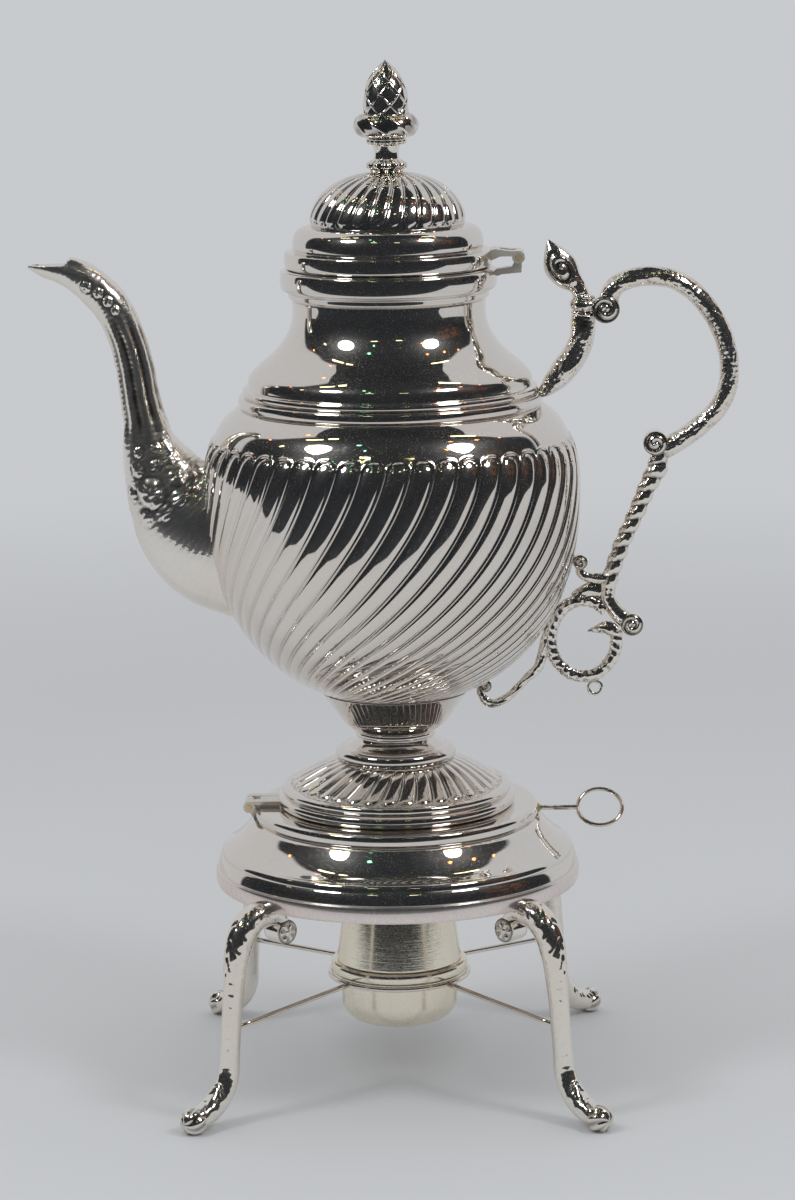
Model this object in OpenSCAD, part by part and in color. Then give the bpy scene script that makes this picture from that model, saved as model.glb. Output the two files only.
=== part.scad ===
// Spirit kettle on its stand: a swirl-fluted silver-plated kettle with a hinged lid, tipping on a
// hinge at the edge of a four-legged stand, over a spirit burner that sits in a wire ring.
// The kettle's axis is Z, the spout points to -X, the handle to +X, and the table is z = 0.

/* [Sheet and castings] */
// Thickness of the spun sheet of the kettle and its lid
sheet = 1.2; // [0.9:0.1:1.5]
// Thickness of the spun sheet of the stand
stand_sheet = 1.0; // [0.8:0.1:1.4]
// Play between the kettle's foot and the plateau, and between the lid and the collar
seat_gap = 0.3; // [0.2:0.05:0.5]
// Radial play of the hinge pins, the lock pin and the holes that they turn or slide in
pin_play = 0.06; // [0.03:0.01:0.1]

/* [Bowl] */
// Radius over the crests of the flutes at the widest place
bowl_r = 77.4; // [74:0.1:82]
// Height of the bowl from its bottom to the widest place
bowl_lower_h = 82.5; // [78:0.5:86]
// Height of the shoulder, from the widest place to the neck
bowl_upper_h = 36.5; // [33:0.5:40]
// Height of the tops of the flutes over the widest place
flute_top_h = 24; // [16:0.5:26]
// Number of flutes round the bowl
flute_count = 48; // [36:1:48]
// Depth of the furrows between the flutes
flute_depth = 1.7; // [0.8:0.1:2.2]
// Angle that a flute winds round the bowl on its way down
flute_swirl = 114; // [60:1:130]
// Radius of the bowl's flat bottom, where the foot is soldered on
bowl_bottom_r = 29.6; // [28:0.1:32]
// Diameter of the strainer holes behind the spout
strainer_d = 5; // [3:0.5:6]

/* [Neck and collar] */
// Radius of the moulded waist at the bottom of the neck
waist_r = 62.3; // [60:0.1:64]
// Least radius of the neck, under the collar
neck_r = 39.4; // [38.6:0.1:42]
// Height of the neck from the shoulder to the collar
neck_h = 43.5; // [40:0.5:46]
// Radius of the kettle's mouth
mouth_r = 37.9; // [36.5:0.1:38.2]
// Radius of the collar's bulging band
collar_r = 44.2; // [43:0.1:45]
// Height of the collar
collar_h = 12.7; // [11.5:0.1:14]

/* [Lid] */
// Radius of the lid's rim band
lid_r = 42.4; // [41.5:0.1:43.5]
// Height of the lid's rim band
lid_rim_h = 7.3; // [6:0.1:8]
// Radius of the lid's rounded step
lid_step_r = 38.9; // [37:0.1:40]
// Height of the lid's rounded step
lid_step_h = 10; // [9:0.1:13]
// Radius of the fluted dome
dome_r = 31.8; // [29:0.1:33]
// Height of the fluted dome
dome_h = 21.2; // [18:0.1:24]
// Number of flutes round the dome
dome_flutes = 28; // [20:1:32]
// Depth of the furrows of the dome
dome_flute_depth = 1.2; // [0.5:0.1:1.6]
// Angle that a flute of the dome winds on its way down
dome_swirl = 16; // [0:1:30]
// Depth of the sleeve that drops into the mouth
bezel_h = 5.5; // [4:0.1:6]
// Play round the sleeve, which it needs to swing out of the mouth
bezel_play = 0.9; // [0.8:0.05:1.2]

/* [Finial] */
// Radius of the pineapple
pine_r = 9.2; // [7:0.1:10]
// Height of the pineapple
pine_h = 21.5; // [19:0.1:25]
// Number of scales round the pineapple
pine_scales = 8; // [6:1:12]
// Radius of the bulging cup under the pineapple
finial_cup_r = 13.1; // [11:0.1:14]
// Height of the finial's cup and stem
finial_stem_h = 23.2; // [21.5:0.1:25]
// Radius of the finial's flange
finial_base_r = 8.2; // [7.4:0.1:9]
// Radius of the screw that holds the finial
finial_screw_r = 1.6; // [1.2:0.1:2]

/* [Lid hinge] */
// Distance of the hinge pin from the kettle's axis
lid_pin_x = 52.8; // [51:0.1:54]
// Height of the hinge pin over the collar's top
lid_pin_up = 4; // [3.5:0.1:4.5]
// Radius of the hinge pin
lid_pin_r = 1.2; // [1:0.1:1.4]
// Outer radius of the knuckles
lid_knuckle_r = 2.6; // [2.3:0.1:2.9]
// Width of the hinge along its pin
lid_hinge_w = 14; // [10:0.5:18]

/* [Foot] */
// Height of the foot's cup, under the bowl
cup_h = 16.2; // [14:0.1:18]
// Height of the rings and the knop under the cup
knop_h = 12.3; // [11.5:0.1:14]
// Radius of the knop
knop_r = 25; // [24:0.1:27]
// Radius of the heat channel through the foot
flue_r = 14; // [10:0.5:14.5]
// Height of the fluted cone
cone_h = 10.7; // [9:0.1:13]
// Radius of the fluted cone at its bottom
cone_r = 45.4; // [43:0.1:46.5]
// Number of flutes round the cone
cone_flutes = 36; // [24:1:40]
// Depth of the furrows of the cone
cone_flute_depth = 1.3; // [0.5:0.1:1.6]
// Angle that a flute of the cone winds on its way down
cone_swirl = 9; // [0:1:20]
// Radius of the foot at its bottom
foot_r = 49.2; // [48.4:0.1:51]
// Height of the moulded base of the foot
foot_base_h = 8.5; // [7.6:0.1:10]

/* [Spout] */
// How far the lip stands out from the widest place of the bowl
spout_reach = 68.4; // [60:0.2:72]
// Height of the lip over the widest place of the bowl
spout_rise = 94.4; // [86:0.2:102]
// Wall of the spout
spout_wall = 1.7; // [1.4:0.1:2]
// Half the width of the spout's base across
spout_base_w = 20; // [18:0.2:22]

/* [Handle] */
// How far the middle of the handle's bow stands out from the widest place of the bowl
handle_reach = 60.8; // [54:0.2:64]
// Radius of the knot between the arm and the scroll
knot_r = 5.5; // [4.5:0.1:6.5]
// Radius of the scroll's bar
scroll_t = 4.1; // [3.4:0.1:4.8]
// Radius of the stem under the scroll
stem_t = 3.3; // [2.6:0.1:3.9]
// Radius of the finger loop's bar
loop_t = 2.8; // [2.3:0.1:3.3]
// Radius inside the small ring under the finger loop
eye_r = 1.9; // [1.4:0.1:2.4]

/* [Stand] */
// Height of the plateau, on which the kettle stands
stand_h = 116.5; // [110:0.5:122]
// Radius of the plateau
plateau_r = 58.6; // [57:0.1:60]
// Height of the plateau's moulded wall
plateau_wall_h = 5.6; // [5.4:0.1:6.4]
// Radius of the hole in the plateau, which lets the heat up
vent_r = 36; // [25:0.5:38]
// Radius of the stand's rim
rim_r = 75.8; // [73:0.1:80]
// Height of the rim band
rim_h = 7.1; // [6:0.1:8.2]
// Height of the stand from the rim's lower edge to the plateau
top_h = 31.9; // [31:0.1:35]
// Radius of a leg where it is thinnest
leg_t = 4.1; // [3.2:0.1:4.8]
// How far the toes stand out from the rim
toe_out = 39.5; // [32:0.5:46]
// Radius of the toes
toe_r = 5.7; // [4.8:0.1:6.4]

/* [Tilting hinge and lock pin] */
// How far the tilting hinge's pin stands out from the plateau
tilt_pin_out = 2.6; // [2.4:0.1:4.4]
// Radius of the tilting hinge's pin
tilt_pin_r = 1.1; // [0.9:0.1:1.3]
// Outer radius of the tilting hinge's knuckles
tilt_knuckle_r = 2.4; // [2.2:0.1:2.4]
// Width of the tilting hinge along its pin
tilt_hinge_w = 15; // [12:0.5:20]
// Radius of the lock pin's wire
lock_r = 1.1; // [0.9:0.1:1.2]
// Depth of the lock pin under the plateau
lock_down = 3.1; // [3:0.1:3.5]
// Radius of the pull ring over its wire
pull_ring_r = 10.2; // [8:0.1:12]

/* [Burner and its holder] */
// Height of the holder ring over the table
holder_z = 43.5; // [38:0.1:48]
// Radius of the holder ring's middle line
holder_r = 28.9; // [28:0.1:32]
// Radius of the holder's wires
wire_r = 1.1; // [0.9:0.1:1.4]
// Radius of the burner's cup
font_r = 24.6; // [22:0.1:25.5]
// Depth of the burner's cup under the holder ring
font_h = 20.6; // [16:0.1:24]
// Height of the burner's cover over its bead
cover_h = 24.5; // [18:0.1:28]
// Height of the burner's bead
bead_h = 4.8; // [4:0.1:6]
// Radius of the wick tube
wick_tube_r = 5.5; // [4.5:0.1:7]

/* [Hidden] */

$fn = 96;
silver = "#d3d2cf";
cast_silver = "#bfbcb6";
brass = "#c9a24f";

// The levels of the joints between the pieces, from the table up
rim_z = stand_h - top_h;
foot_z = stand_h + seat_gap;
cone_z = foot_z + foot_base_h;
knop_z = cone_z + cone_h;
cup_z = knop_z + knop_h;
bowl_z = cup_z + cup_h;
widest_z = bowl_z + bowl_lower_h;
neck_z = widest_z + bowl_upper_h;
collar_z = neck_z + neck_h;
mouth_z = collar_z + collar_h;
lid_z = mouth_z + seat_gap;
step_z = lid_z + lid_rim_h;
dome_z = step_z + lid_step_h;
dome_top_z = dome_z + dome_h;
pine_z = dome_top_z + finial_stem_h;

// The bowl's outline: two super-ellipses that meet at the widest place
lower_power = 2.2;
upper_power = 3;
neck_tuck = 0.2;
lower_reach = bowl_lower_h / pow(1 - pow(bowl_bottom_r / bowl_r, lower_power), 1 / lower_power);
upper_reach = bowl_upper_h / pow(1 - pow((waist_r - neck_tuck) / bowl_r, upper_power), 1 / upper_power);
function bowl_radius(z) =
    let(d = z - widest_z,
        power = d < 0 ? lower_power : upper_power,
        reach = d < 0 ? lower_reach : upper_reach)
    bowl_r * pow(1 - pow(abs(d) / reach, power), 1 / power);
function bowl_height(r) = widest_z - lower_reach * pow(1 - pow(r / bowl_r, lower_power), 1 / lower_power);

// Points along an arc of an ellipse
function arc(c, size, from, to, steps) =
    [for (i = [0:steps]) let(a = from + (to - from) * i / steps) c + [size[0] * cos(a),
    size[1] * sin(a)]];

// A half-round moulding that bulges out of radius r by bulge, from height a to height b
function bead(r, bulge, a, b, steps = 6) =
    [for (i = [0:steps]) let(t = 180 * i / steps) [r + bulge * sin(t),
    (a + b) / 2 + (a - b) / 2 * cos(t)]];

// One point of a smooth curve through the stations s, between stations i and i + 1
function between(s, i, t) =
    let(a = s[max(i - 1, 0)], b = s[i], c = s[i + 1], d = s[min(i + 2, len(s) - 1)])
    (2 * b + (c - a) * t + (2 * a - 5 * b + 4 * c - d) * t * t + (3 * b - a - 3 * c + d) * t * t * t) / 2;
function curve(s, steps) =
    [for (i = [0:len(s) - 2]) for (k = [0:steps - 1]) between(s, i, k / steps), s[len(s) - 1]];

// A cast bar in the XZ plane: stations [x, z, half its depth in the plane, half its width across]
module cast_bar(stations, steps = 2, sides = 8) {
    path = curve(stations, steps);
    last = len(path) - 1;
    points = [for (i = [0:last])
        let(ahead = path[min(i + 1, last)], behind = path[max(i - 1, 0)],
            run = [ahead[0] - behind[0], ahead[1] - behind[1]] / norm([ahead[0] - behind[0],
                ahead[1] - behind[1]]))
        for (k = [0:sides - 1])
            let(a = 360 * (k + 0.5) / sides, depth = path[i][2] * cos(a))
            [path[i][0] - run[1] * depth, path[i][3] * sin(a), path[i][1] + run[0] * depth]];
    skin = [for (i = [0:last - 1]) for (k = [0:sides - 1])
        let(a = i * sides + k, b = i * sides + (k + 1) % sides)
        for (f = [[a, b, b + sides], [a, b + sides, a + sides]]) f];
    polyhedron(points, concat(skin,
        [[for (k = [sides - 1:-1:0]) k]],
        [[for (k = [0:sides - 1]) last * sides + k]]));
}

// A fluted shell between an outer skin, rings of [r, z, furrow depth, turn], and a plain inner skin,
// rings of [r, z], both from the top down. Each flute has as many columns of points as furrow has
// shares of the depth. The skins meet at both ends or, if closed, each has a bottom of its own.
round_flute = [1, 0.34, 0, 0.34];
broad_flute = [1, 0.06, 0.06];
module fluted_shell(count, outer, inner, furrow, closed = false) {
    per = len(furrow);
    columns = per * count;
    m = len(outer);
    n = len(inner);
    outside = [for (ring = outer) for (k = [0:columns - 1])
        let(a = 360 * k / columns - ring[3], r = ring[0] - ring[2] * furrow[k % per])
        [r * cos(a), r * sin(a), ring[1]]];
    inside = [for (i = [0:n - 1]) for (k = [0:count - 1])
        let(a = 360 * k / count - outer[m - 1][3] * i / (n - 1))
        [inner[i][0] * cos(a), inner[i][0] * sin(a), inner[i][1]]];
    function on_outer(i, k) = i * columns + k % columns;
    function on_inner(i, k) = m * columns + i * count + k % count;
    outer_centre = m * columns + n * count;
    skins = concat(
        [for (i = [0:m - 2]) for (k = [0:columns - 1])
            for (f = [[on_outer(i, k), on_outer(i + 1, k + 1), on_outer(i + 1, k)],
                      [on_outer(i, k), on_outer(i, k + 1), on_outer(i + 1, k + 1)]]) f],
        [for (i = [0:n - 2]) for (k = [0:count - 1])
            for (f = [[on_inner(i, k), on_inner(i + 1, k), on_inner(i + 1, k + 1)],
                      [on_inner(i, k), on_inner(i + 1, k + 1), on_inner(i, k + 1)]]) f]);
    function lip(i, j, up) = [for (k = [0:count - 1]) for (f = concat(
        [for (c = [0:per - 1]) [on_outer(i, per * k + c), on_inner(j, k), on_outer(i, per * k + c + 1)]],
        [[on_outer(i, per * k + per), on_inner(j, k), on_inner(j, k + 1)]]))
        up ? f : [f[0], f[2], f[1]]];
    bottoms = concat(
        [for (k = [0:columns - 1]) [on_outer(m - 1, k), on_outer(m - 1, k + 1), outer_centre]],
        [for (k = [0:count - 1]) [on_inner(n - 1, k), outer_centre + 1, on_inner(n - 1, k + 1)]]);
    polyhedron(
        concat(outside, inside, [[0, 0, outer[m - 1][1]], [0, 0, inner[n - 1][1]]]),
        concat(skins, lip(0, 0, true), closed ? bottoms : lip(m - 1, n - 1, false)));
}

// Keeps castings that are cut to fit each other as one mesh; a size of nothing leaves them as they are
module one_mesh() {
    resize([0, 0, 0]) children();
}

module turned(outline) {
    rotate_extrude() polygon(outline);
}

// The bowl and its shoulder: the furrows begin under rounded tops and wind faster on the way down
flute_top_z = widest_z + flute_top_h;
flute_rings = 10;
shoulder_rings = 2;
function swirl(t) = flute_swirl * pow(t, 1.5);
bowl_outer = concat(
    [for (i = [0:shoulder_rings - 1])
        let(z = neck_z + (flute_top_z - neck_z) * pow(i / shoulder_rings, 1.6))
        [bowl_radius(z), z, 0, 0]],
    [for (i = [0:flute_rings])
        let(t = pow(i / flute_rings, 1.15), z = flute_top_z + (bowl_z - flute_top_z) * sin(90 * t),
            depth = flute_depth * min(1, 0.15 + 3.4 * t) * (1 - 0.55 * t))
        [bowl_radius(max(z, bowl_z)), max(z, bowl_z), depth, swirl(t)]]);
bowl_floor_z = bowl_z + sheet;
bowl_lining = sheet + flute_depth;
inner_rings = 8;
bowl_inner = concat(
    [[bowl_radius(neck_z) - sheet, neck_z]],
    [for (i = [1:inner_rings])
        let(z = neck_z - (neck_z - bowl_floor_z) * (1 - cos(90 * i / inner_rings)) * 0.5
                       - (neck_z - bowl_floor_z) * 0.5 * i / inner_rings)
        [bowl_radius(z) - bowl_lining, z]]);

module bowl_solid() {
    core_r = 2;
    fluted_shell(flute_count, bowl_outer, [[core_r / 2, neck_z], [core_r / 2, bowl_z]], round_flute);
    translate([0, 0, bowl_z]) cylinder(r = core_r, h = neck_z - bowl_z, $fn = 12);
}

strainer_rows = [-26, -16, -6];
strainer_pitch = 7.5;
module bowl() {
    color(silver) one_mesh() difference() {
        fluted_shell(flute_count, bowl_outer, bowl_inner, round_flute, closed = true);
        for (dz = strainer_rows, turn = [-1, 0, 1])
            translate([0, 0, widest_z + dz]) rotate([0, 0, turn * strainer_pitch]) rotate([0, -90, 0])
                cylinder(d = strainer_d, h = bowl_r + 1, $fn = 8);
    }
}

// The neck: two mouldings round the waist, then a hollow sweep up to the collar
waist_h = 8.4;
neck_flare = [[waist_r - 4, neck_z + waist_h, 0, 0], [waist_r - 4.8, neck_z + 12.7, 0, 0],
              [waist_r - 9.8, neck_z + 17.4, 0, 0], [neck_r + 6.9, neck_z + 22.6, 0, 0],
              [neck_r + 2.8, neck_z + 28.9, 0, 0], [neck_r + 0.3, neck_z + 35.4, 0, 0],
              [neck_r, collar_z, 0, 0]];
neck_outline = concat(
    [[waist_r - neck_tuck, neck_z]],
    bead(waist_r - 1, 1, neck_z + 0.2, neck_z + 4.6),
    [[waist_r - 2.4, neck_z + 4.8]],
    bead(waist_r - 2.8, 0.9, neck_z + 5.1, neck_z + 7.9),
    [for (p = curve(neck_flare, 2)) [p[0], p[1]]]);
module neck() {
    inside = [for (i = [len(neck_flare) - 1:-1:0]) [neck_flare[i][0] - sheet, neck_flare[i][1]]];
    color(silver) turned(concat(neck_outline, inside, [[waist_r - 2.6 - sheet, neck_z]]));
}

// The collar: a step and a bulging band round the mouth
module collar() {
    color(silver) turned(concat(
        [[mouth_r, collar_z], [neck_r, collar_z], [neck_r + 1.5, collar_z + 1.2],
         [neck_r + 1.7, collar_z + 3.2], [neck_r + 3, collar_z + 3.9]],
        bead(collar_r - 1.6, 1.6, collar_z + 4.4, mouth_z - 0.5),
        [[collar_r - 2.2, mouth_z], [mouth_r, mouth_z]]));
}

// The spout: a cast tube that swings up from a broad base to an open lip
spout_x = -bowl_r - spout_reach;
spout_z = widest_z + spout_rise;
spout_stations = [
    [spout_x - 0.6, spout_z + 0.5, 1.0, 2.2], [spout_x + 5.5, spout_z + 0.3, 4.4, 5.0],
    [spout_x + 12.6, spout_z - 0.9, 5.7, 6.2], [spout_x + 22.2, spout_z - 5.4, 7.2, 6.7],
    [spout_x + 32.6, spout_z - 16, 7.7, 7.0], [spout_x + 38.2, spout_z - 28, 7.3, 7.2],
    [spout_x + 41.4, spout_z - 40.3, 7.6, 7.4], [spout_x + 43.3, spout_z - 53.3, 7.9, 7.8],
    [spout_x + 45.2, spout_z - 64, 8.9, 8.6], [-bowl_r - 21.6, widest_z + 20.8, 11.6, 10.6],
    [-bowl_r - 18, widest_z + 11.5, 15.4, spout_base_w - 6.6],
    [-bowl_r - 12.6, widest_z + 1, 20, spout_base_w - 3],
    [-bowl_r - 5, widest_z - 9.5, 25.5, spout_base_w],
    [-bowl_r + 5, widest_z - 16.5, 30, spout_base_w + 1.6],
    [-bowl_r + 19, widest_z - 20, 32.5, spout_base_w + 2.4]];
lip_open_w = 16;
module spout() {
    bore = [for (s = spout_stations) [s[0], s[1], max(s[2] - spout_wall, 0.4), max(s[3] - spout_wall,
        0.4)]];
    color(cast_silver) one_mesh() difference() {
        cast_bar(spout_stations, 2, 12);
        cast_bar(bore, 1, 8);
        translate([spout_x - 5, -10, spout_z + 0.9]) cube([lip_open_w + 5, 20, 20]);
        bowl_solid();
    }
}

// The handle: a leafy arm, a knot, a C-scroll, a stem with a curl and a finger loop with a tail
handle_x = bowl_r + handle_reach;
arm_z = neck_z + 4.3;
knot = [handle_x - 59.4, arm_z + 35.6];
arm_stations = [
    [waist_r - 1.4, arm_z - 0.8, 1.8, 2], [waist_r + 2.2, arm_z + 2, 3.5, 3.6],
    [waist_r + 6, arm_z + 6, 4.9, 4.6],
    [knot[0] - 6.9, knot[1] - 25.2, 5.4, 5], [knot[0] - 3.4, knot[1] - 20.3, 5.3, 5],
    [knot[0] - 0.9, knot[1] - 15.1, 5.2, 4.8], [knot[0], knot[1] - 9.4, 5, 4.6],
    [knot[0] + 0.2, knot[1] - 4, 4.6, 4.4]];
bud_stations = [
    [knot[0] - 0.6, knot[1] + 3.4, 3.6, 3.6], [knot[0] - 2.2, knot[1] + 7.4, 3.6, 3.6],
    [knot[0] - 6.4, knot[1] + 12, 6, 4.6], [knot[0] - 9.6, knot[1] + 16.8, 6.6, 4.8],
    [knot[0] - 11.8, knot[1] + 21.6, 4.4, 3.6], [knot[0] - 14, knot[1] + 26.6, 0.4, 0.4]];
cut_facets = 60;
module knot_solid() {
    translate([knot[0], 0, knot[1]]) rotate([0, 8, 0]) turned(concat(
        [[0, -4.4]],
        bead(knot_r - 1.8, 0.7, -4.4, -2.8, 4),
        bead(knot_r - 2.2, 2.2, -2.6, 2.6),
        bead(knot_r - 1.8, 0.7, 2.8, 4.4, 4),
        [[0, 4.4]]));
}
module handle_knot() {
    color(cast_silver) knot_solid();
}
module handle_arm() {
    color(cast_silver) difference() {
        one_mesh() difference() {
            cast_bar(arm_stations, 2, 8);
            knot_solid($fn = cut_facets);
        }
        turned(concat([[0, neck_z]], neck_outline, [[0, collar_z]]));
    }
}
module thumb_leaf() {
    color(cast_silver) one_mesh() difference() {
        cast_bar(bud_stations, 2, 8);
        knot_solid($fn = cut_facets);
    }
}

scroll_stations = [
    [handle_x - 49, arm_z + 32.5, 4.8, 4.2], [handle_x - 48.4, arm_z + 39.6, 4.2, 4.2],
    [handle_x - 44.4, arm_z + 44.2, scroll_t, scroll_t],
    [handle_x - 37, arm_z + 46.6, scroll_t, scroll_t],
    [handle_x - 28, arm_z + 46.7, scroll_t, scroll_t], [handle_x - 20, arm_z + 44.2, scroll_t, scroll_t],
    [handle_x - 12, arm_z + 38, scroll_t, scroll_t], [handle_x - 5, arm_z + 28, scroll_t, scroll_t],
    [handle_x - 1, arm_z + 17.4, scroll_t, scroll_t], [handle_x, arm_z + 9, scroll_t, scroll_t],
    [handle_x - 0.9, arm_z + 0.4, scroll_t, scroll_t], [handle_x - 4.8, arm_z - 7.6, scroll_t, scroll_t],
    [handle_x - 12.5, arm_z - 15, 4.2, scroll_t], [handle_x - 20.8, arm_z - 20.8, 4.3, 4],
    [handle_x - 27, arm_z - 24.2, 4.4, 4]];
stem_top = [handle_x - 30.2, arm_z - 21.1];
volute_r = 5;
volute_w = 9.4;
module volute(x, z, r, w) {
    translate([x, 0, z]) rotate([90, 0, 0]) {
        cylinder(r = r, h = w, center = true, $fn = 16);
        cylinder(r = r * 0.55, h = w + 2, center = true, $fn = 10);
    }
}
module scroll_solid() {
    cast_bar(scroll_stations, 2, 8);
    volute(handle_x - 50.2, arm_z + 34, volute_r + 0.7, volute_w);
}
module handle_scroll() {
    color(cast_silver) one_mesh() difference() {
        union() {
            scroll_solid();
            volute(stem_top[0], stem_top[1], volute_r, volute_w);
        }
        knot_solid($fn = cut_facets);
    }
}

stem_stations = [
    [stem_top[0] + 2, stem_top[1] - 3, 3.4, 3.4], [handle_x - 29.6, arm_z - 32, 4.2, 3.8],
    [handle_x - 32.8, arm_z - 38, stem_t + 0.4, stem_t], [handle_x - 39.4, arm_z - 53.2, stem_t, stem_t],
    [handle_x - 44, arm_z - 63, stem_t, stem_t], [handle_x - 48.8, arm_z - 77, stem_t, stem_t],
    [handle_x - 50, arm_z - 85, stem_t, stem_t], [handle_x - 47.2, arm_z - 90.6, stem_t, stem_t],
    [handle_x - 42, arm_z - 95.6, stem_t + 0.4, stem_t]];
stem_foot = [handle_x - 40, arm_z - 96.6];
curl_z = arm_z - 70.4;
curl_r = 3;
curl_x = bowl_radius(curl_z) + curl_r;
curl_stations = [
    [handle_x - 48.2, arm_z - 77.4, 2.4, 2.6], [curl_x + 5.6, curl_z - 7, 2.3, 2.5],
    [curl_x + 0.6, curl_z - 5.2, 2.1, 2.4], [curl_x - 0.2, curl_z - 1, 1.6, 2.2]];
module stem_solid() {
    cast_bar(stem_stations, 2, 8);
    cast_bar(curl_stations, 2, 8);
    volute(stem_foot[0], stem_foot[1], 4.6, 8);
    volute(curl_x, curl_z, curl_r, 5.6);
}
module handle_stem() {
    color(cast_silver) one_mesh() difference() {
        stem_solid();
        volute(stem_top[0], stem_top[1], volute_r, volute_w);
        scroll_solid();
        bowl_solid();
    }
}

loop_centre = [handle_x - 59.9, arm_z - 103.2];
loop_stations = [for (a = [48, 70, 92, 114, 136, 160, 184, 208, 232, 256, 280, 304, 328, 352, 374])
    [loop_centre[0] + 13.6 * cos(a), loop_centre[1] + (a < 180 ? 16.6 : 15.4) * sin(a), loop_t, loop_t]];
prong_stations = [
    [loop_centre[0] + 13.2, loop_centre[1] + 3.2, 2.8, 2.8],
    [loop_centre[0] + 9, loop_centre[1] + 5, 2.9, 2.6],
    [loop_centre[0] + 1.6, loop_centre[1] + 3.6, 0.4, 0.6]];
web_stations = [
    [loop_centre[0] + 9.2, loop_centre[1] + 20.6, 3.4, 2.2],
    [loop_centre[0] + 2.6, loop_centre[1] + 20.8, 3.4, 2.2],
    [loop_centre[0] - 3.6, loop_centre[1] + 17, 2.8, 2.2]];
eye_z = loop_centre[1] - 15.4 - loop_t - eye_r - 0.2;
eye_wire_r = 0.8;
module loop_solid() {
    cast_bar(loop_stations, 1, 8);
    cast_bar(prong_stations, 2, 8);
    cast_bar(web_stations, 1, 8);
    translate([loop_centre[0] + 4.6, 0, eye_z]) rotate([90, 0, 0])
        rotate_extrude($fn = 12) translate([eye_r + eye_wire_r, 0]) circle(r = eye_wire_r, $fn = 6);
}
module finger_loop() {
    color(cast_silver) one_mesh() difference() {
        loop_solid();
        stem_solid();
    }
}

tail_r = 36.9;
tail_curl_r = 2.6;
tail_curl = [tail_r + 0.6, bowl_height(tail_r) - tail_curl_r + 0.5];
tail_stations = [
    [loop_centre[0] - 10.8, loop_centre[1] + 9.2, 1.2, 1.8],
    [loop_centre[0] - 14.4, loop_centre[1] + 5, 1.8, 2.2],
    [loop_centre[0] - 16.8, loop_centre[1] - 4, 2, 2.2],
    [loop_centre[0] - 18.6, loop_centre[1] - 11, 2.2, 2.2],
    [loop_centre[0] - 23.4, loop_centre[1] - 16, 1.9, 2.2],
    [tail_r + 10.4, tail_curl[1] - 4.6, 1.8, 2.2], [tail_r + 5.4, tail_curl[1] - 7.4, 1.9, 2.2],
    [tail_r + 1, tail_curl[1] - 6.6, 2, 2.2], [tail_r - 1.4, tail_curl[1] - 3, 1.7, 2.2],
    [tail_r - 0.4, tail_curl[1], 1.4, 2]];
module handle_tail() {
    color(cast_silver) one_mesh() difference() {
        union() {
            cast_bar(tail_stations, 1, 8);
            volute(tail_curl[0], tail_curl[1], tail_curl_r, 5);
        }
        loop_solid();
        bowl_solid();
    }
}

// The foot: a cup soldered under the bowl, rings and a knop, a fluted cone and a moulded base
cup_lip_r = bowl_bottom_r + 1.1;
cup_neck_r = 17.6;
cup_stations = [[cup_lip_r, bowl_z, 0, 0], [cup_lip_r - 4.6, cup_z + 9.6, 0, 0],
                [cup_lip_r - 9.2, cup_z + 3.3, 0, 0], [cup_neck_r, cup_z, 0, 0]];
module foot_cup() {
    outside = [for (p = curve(cup_stations, 3)) [p[0], p[1]]];
    inside = [for (i = [len(cup_stations) - 1:-1:0]) [cup_stations[i][0] - 1.5 * sheet,
        cup_stations[i][1]]];
    color(silver) turned(concat(outside, inside));
}
module foot_knop() {
    color(silver) turned(concat(
        [[flue_r, cup_z], [cup_neck_r, cup_z]],
        bead(cup_neck_r - 1.6, 0.8, cup_z - 0.4, cup_z - 2.8, 4),
        bead(cup_neck_r - 1.4, 0.8, cup_z - 3.4, cup_z - 5.4, 4),
        [[cup_neck_r - 0.2, cup_z - 6], [cup_neck_r + 1, cup_z - 7]],
        arc([knop_r - 3.6, knop_z + 2.3], [3.6, 2.9], 100, -20, 6),
        [[knop_r - 1, knop_z], [flue_r, knop_z]]));
}
cone_rings = 3;
cone_top_r = knop_r - 0.6;
module foot_cone() {
    outer = [for (i = [0:cone_rings]) let(t = i / cone_rings)
        [cone_top_r + (cone_r - cone_top_r) * t, knop_z - cone_h * (t + 0.12 * sin(180 * t) * (t - 1)),
         cone_flute_depth * min(1, 0.3 + 1.2 * t), cone_swirl * t]];
    inner = [for (t = [0, 1])
        [cone_top_r - 3.6 + (cone_r - cone_top_r - 0.4) * t, knop_z - cone_h * t]];
    color(silver) fluted_shell(cone_flutes, outer, inner, broad_flute);
}
base_inner_r = foot_r - 5.2;
base_outline = concat(
    [[foot_r - 1, foot_z]],
    bead(foot_r - 1, 1, foot_z + 0.2, foot_z + 4.2),
    [[foot_r - 1.8, foot_z + 4.6]],
    bead(foot_r - 2.6, 1, foot_z + 5, cone_z - 0.4, 5),
    [[foot_r - 3, cone_z]]);
module foot_base() {
    color(silver) turned(concat([[base_inner_r, foot_z]], base_outline,
        [[cone_r - 4, cone_z], [base_inner_r, cone_z - 2]]));
}

// The lug under the foot that the lock pin goes through
lug_t = 2.4;
lug_w = 8;
lug_down = 7.5;
lock_z = stand_h - lock_down;
module latch_lug() {
    color(brass) difference() {
        intersection() {
            translate([base_inner_r - lug_t, -lug_w / 2, stand_h - lug_down]) cube([lug_t + 1, lug_w,
                lug_down + 5]);
            translate([0, 0, stand_h - lug_down]) cylinder(r = base_inner_r, h = lug_down + 5);
        }
        translate([0, 0, lock_z]) rotate([0, 90, 0]) cylinder(r = lock_r + 0.3, h = foot_r);
    }
}

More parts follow.
